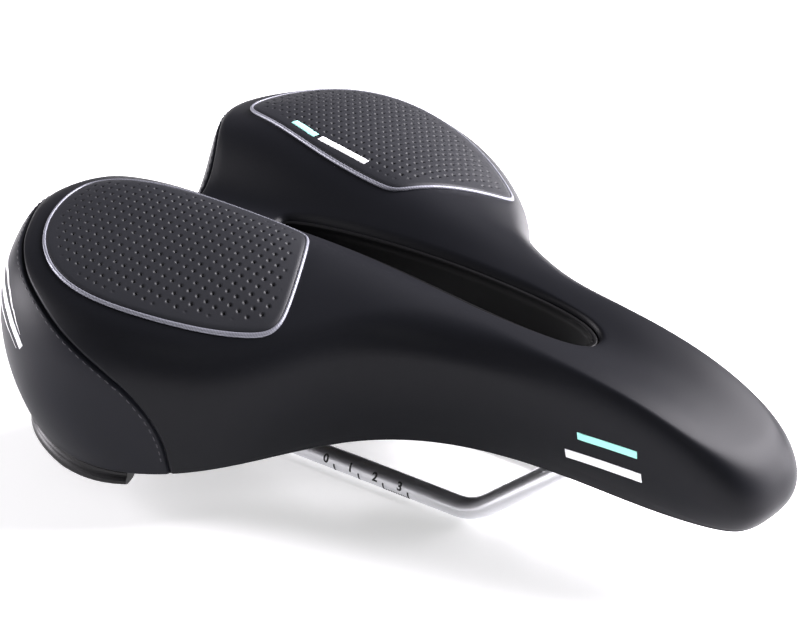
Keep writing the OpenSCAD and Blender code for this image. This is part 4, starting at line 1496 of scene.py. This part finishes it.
class Prints:
    """Thin screened marks that lie on the covers and panels."""

    def __init__(self, sizes: PrintSizes, covers: dict[str, bpy.types.Object],
                 panels: dict[str, bpy.types.Object]) -> None:
        """Keep the strokes and the surfaces that they lie on."""
        self.sizes = sizes
        self.trees = [surface_tree(covers.values()),
                      surface_tree(panels.values(), PanelSizes().dimple_depth * MM)]

    def _lay(self, name: str, centre: Array, width: Array, tree: object, side: int,
             ink: bpy.types.Material, facing: Vector) -> bpy.types.Object:
        """Lay a ribbon on a surface as a thin closed sheet of ink.

        Args:
            name: name of the piece.
            centre: points along the ribbon's middle, in millimetres.
            width: ribbon width at each of them.
            tree: search tree of the surface.
            side: -1 for the right side, 1 to mirror onto the left.
            ink: the material.
            facing: unit vector that the surface roughly faces there, on the right side.

        Returns:
            The ribbon.
        """
        n, m = len(centre), self.sizes.across + 1
        mirror = Vector((1, -side, 1))
        way = np.gradient(centre, axis=0)
        way /= np.linalg.norm(way, axis=1, keepdims=True)
        upper, lower = [], []
        for c, d, w in zip(centre, way, width):
            start = Vector(c * MM) + facing * 5 * MM
            near, normal, _, _ = tree.find_nearest(start * mirror)
            across = Vector(d).cross(normal * mirror).normalized()
            for t in np.linspace(-0.5, 0.5, m):
                at = (near * mirror + across * float(t * w) * MM + facing * MM) * mirror
                spot, face, _, _ = tree.find_nearest(at)
                upper.append(np.array(spot + face * self.sizes.proud * MM) / MM)
                lower.append(np.array(spot + face * 0.01 * MM) / MM)
        total = n * m
        faces = []
        for i in range(n - 1):
            for j in range(m - 1):
                a = i * m + j
                faces += [(a, a + 1, a + m + 1, a + m),
                          (a + total, a + m + total, a + m + 1 + total, a + 1 + total)]
            for a, b in ((i * m, (i + 1) * m), ((i + 2) * m - 1, (i + 1) * m - 1)):
                faces.append((a, b, b + total, a + total))
        for j in range(m - 1):
            faces += [(j + 1, j, j + total, j + 1 + total),
                      ((n - 1) * m + j, (n - 1) * m + j + 1, (n - 1) * m + j + 1 + total,
                       (n - 1) * m + j + total)]
        obj = turn_outwards(mesh_object(name, np.array(upper + lower), faces))
        paint(obj, ink)
        return obj

    @staticmethod
    def _smooth(line: Array, count: int) -> Array:
        """Even points on a smooth curve through a few points."""
        p = np.concatenate([[2 * line[0] - line[1]], line, [2 * line[-1] - line[-2]]])
        out = []
        for i in range(1, len(p) - 2):
            for t in np.linspace(0, 1, 30, endpoint=False):
                out.append(0.5 * ((2 * p[i]) + (-p[i - 1] + p[i + 1]) * t
                                  + (2 * p[i - 1] - 5 * p[i] + 4 * p[i + 1] - p[i + 2]) * t * t
                                  + (-p[i - 1] + 3 * p[i] - 3 * p[i + 1] + p[i + 2]) * t ** 3))
        out.append(p[-2])
        out = np.array(out)
        run = np.concatenate([[0], np.cumsum(np.linalg.norm(np.diff(out, axis=0), axis=1))])
        even = np.linspace(0, run[-1], count)
        return np.column_stack([np.interp(even, run, out[:, k]) for k in range(3)])

    def build(self, look: dict) -> dict[str, bpy.types.Object]:
        """Print the stripes on the rear cover and the plain bars on nose and panel."""
        sz = self.sizes
        pieces = {}
        for stroke in sz.strokes:
            line = self._smooth(np.array(stroke.line, float), sz.along)
            t = np.linspace(0, 1, sz.along)
            if stroke.mark is Mark.TAPERED:
                width = stroke.width * np.clip(1 - t, 0.02, 1) ** 0.6 * np.clip(t * 3 + 0.1,
                                                                                0, 1)
            else:
                width = stroke.width * np.clip(t * 2.2 + 0.12, 0, 1)
            for side, word in ((-1, "right"), (1, "left")):
                obj = self._lay(f"{stroke.name}_{word}", line, width, self.trees[0], side,
                                look[stroke.ink], Vector((-0.75, -0.65, 0.1)))
                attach(obj, "root")
                pieces[obj.name] = obj
        marks = [("panel_bar_mint", (-79.5, 32.9), (-67.0, 28.9), "mint_ink"),
                 ("panel_bar_white", (-65.0, 28.5), (-43.0, 25.2), "white_ink")]
        for name, start, end, ink in marks:
            plan = np.array(start) + np.outer(np.linspace(0, 1, sz.along),
                                              np.subtract(end, start))
            line = np.column_stack([plan[:, 0], -plan[:, 1], np.full(sz.along, 84.0)])
            obj = self._lay(f"{name}_left", line, np.full(sz.along, 2.4), self.trees[1], 1,
                            look[ink], Vector((0, 0, 1)))
            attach(obj, "root")
            pieces[obj.name] = obj
        bars = [("nose_bar_long", 74.0, 101.0, 31.6, 31.6, 3.4, "white_ink", 0),
                ("nose_bar_short", 79.0, 100.0, 40.6, 40.6, 2.6, "mint_ink", 0)]
        for name, x0, x1, z0, z1, width, ink, which in bars:
            t = np.linspace(0, 1, sz.along)
            line = np.column_stack([x0 + (x1 - x0) * t, np.full(sz.along, -22.0),
                                    z0 + (z1 - z0) * t])
            for side, word in ((-1, "right"), (1, "left")):
                obj = self._lay(f"{name}_{word}", line, np.full(sz.along, width),
                                self.trees[which], side, look[ink], Vector((0, -1, 0)))
                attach(obj, "root")
                pieces[obj.name] = obj
        return pieces


# ---------------------------------------------------------------- underside
class Underside:
    """The CAD pieces that keep their shape and get a finish."""

    FINISH = {"base_shell": "shell", "cover_fold": "fold", "foam_core": "foam",
              "gel_insert_left": "gel", "gel_insert_right": "gel", "nose_block": "socket",
              "rear_socket_left": "socket", "rear_socket_right": "socket",
              "rear_guard": "guard", "staples": "staple", "screws": "screw"}

    def dress(self, look: dict) -> None:
        """Paint each CAD piece that shows."""
        for node, finish in self.FINISH.items():
            paint(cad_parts[node], look[finish])


# ---------------------------------------------------------------- studio
@dataclass(frozen=True)
class Softbox:
    """One rectangular light, in metres and watts.

    Its place is a share of the camera's right and back axes, plus a fixed step.
    """

    name: str
    right: float
    back: float
    step: tuple
    aim: tuple
    size: tuple
    watts: float
    tint: str = "#fdf9ff"


@dataclass(frozen=True)
class StudioSizes:
    """Camera and lights, in degrees, metres and watts."""

    azimuth: float = 38.4
    elevation: float = 26.5
    distance: float = 1.2
    shift_right: float = -0.00645
    shift_up: float = 0.04516
    lens: float = 167.4
    sensor: float = 36.0
    floor: float = 6.0
    air: float = 0.14
    softboxes: tuple = (
        Softbox("softbox_behind", 0.0, 0.0, (0.55, 0.95, 0.95), (0.04, 0, 0.05),
                (1.2, 0.8), 95.0),
        Softbox("softbox_right", 1.25, -0.35, (0, 0, 0.45), (0.08, 0, 0.05),
                (0.6, 0.7), 26.0),
        Softbox("softbox_left", -1.25, -0.3, (0, 0, 0.35), (-0.08, 0, 0.05),
                (0.5, 0.8), 30.0),
        Softbox("fill_front", -0.3, 1.4, (0, 0, 0.4), (0, 0, 0.03),
                (0.5, 0.5), 2.0, "#ffffff"),
    )


class Studio:
    """A pale floor, soft lights from behind and above, and the camera."""

    def __init__(self, sizes: StudioSizes) -> None:
        """Keep the studio's sizes."""
        self.sizes = sizes

    def _light(self, box: Softbox, right: Vector, back: Vector) -> None:
        """Add one rectangular softbox.

        Args:
            box: its place, size and power.
            right: unit vector to the camera's right.
            back: unit vector from the saddle to the camera.
        """
        data = bpy.data.lights.new(box.name, "AREA")
        data.shape = "RECTANGLE"
        data.size, data.size_y = box.size
        data.energy = box.watts
        data.color = linear(box.tint)[:3]
        obj = bpy.data.objects.new(box.name, data)
        place = right * box.right + back * box.back + Vector(box.step)
        obj.location = place
        obj.rotation_euler = (Vector(box.aim) - place).to_track_quat("-Z", "Y").to_euler()
        bpy.context.scene.collection.objects.link(obj)

    def build(self, look: dict) -> None:
        """Build floor, lights, world and camera."""
        sz = self.sizes
        low = CAD_BOX[0][2]
        half = sz.floor / 2
        floor = mesh_object("floor", np.array([(-half, -half, low), (half, -half, low),
                                               (half, half, low), (-half, half, low)]) / MM,
                            [(0, 1, 2, 3)], smooth=False)
        paint(floor, look["backdrop"])
        az, el = math.radians(sz.azimuth), math.radians(sz.elevation)
        back = Vector((math.sin(az) * math.cos(el), -math.cos(az) * math.cos(el),
                       math.sin(el)))
        right = Vector((math.cos(az), math.sin(az), 0))
        up = back.cross(right)
        place = back * sz.distance + right * sz.shift_right + up * sz.shift_up
        camera = bpy.data.cameras.new("camera")
        camera.lens = sz.lens
        camera.sensor_width = sz.sensor
        camera.clip_start = 0.01
        camera.clip_end = 50.0
        obj = bpy.data.objects.new("camera", camera)
        turn = Matrix((right, up, back)).transposed()
        obj.matrix_world = Matrix.Translation(place) @ turn.to_4x4()
        bpy.context.scene.collection.objects.link(obj)
        bpy.context.scene.camera = obj
        for box in sz.softboxes:
            self._light(box, right, back)
        world = bpy.data.worlds.new("studio_air")
        bpy.context.scene.world = world
        world.use_nodes = True
        sky = world.node_tree.nodes["Background"]
        sky.inputs["Color"].default_value = linear("#ffffff")
        sky.inputs["Strength"].default_value = sz.air
        bpy.context.scene.view_settings.view_transform = "Standard"


# ---------------------------------------------------------------- whole saddle
def plain(box: object) -> list:
    """A bounding box as plain nested lists of numbers."""
    return [[float(c) for c in corner] for corner in box]


def main() -> None:
    """Build every sub-assembly in order."""
    logging.basicConfig(level=logging.INFO, format="%(name)s: %(message)s")
    palette = Palette()
    look = {f: getattr(palette, f).build() for f in palette.__dataclass_fields__}
    form = packed_form()
    LOG.info("form stretched by %.4f and %.4f", form.kx, form.ky)
    skin = Skin(form, CoverSizes())
    covers = Covers(skin)
    cover_pieces = covers.build()
    covers.dress(cover_pieces, look)
    LOG.info("covers: %s", {n: len(o.data.polygons) for n, o in cover_pieces.items()})
    stitches = Stitching(skin, StitchSizes(), cover_pieces["rear_cover_skin"]).build(look["thread"])
    panels = SeatPanels(form, PanelSizes()).build(look)
    LOG.info("panels: %s", {n: len(o.data.polygons) for n, o in panels.items()})
    liner = ChannelLiner(form, LinerSizes()).build(look["liner"])
    rails = Rails(RailSizes()).build(look)
    guard = ScuffGuard(replace(form, lean=0.02, lean_at=0.4167), GuardSizes()).build(look["guard"])
    for obj in guard.values():
        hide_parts("rear_guard")
    prints = Prints(PrintSizes(), cover_pieces, panels).build(look)
    Underside().dress(look)
    Studio(StudioSizes()).build(look)
    LOG.info("stitches %d, liner %d, rails %d, prints %d", len(stitches), len(liner),
             len(rails), len(prints))


if __name__ == "__main__":
    main()
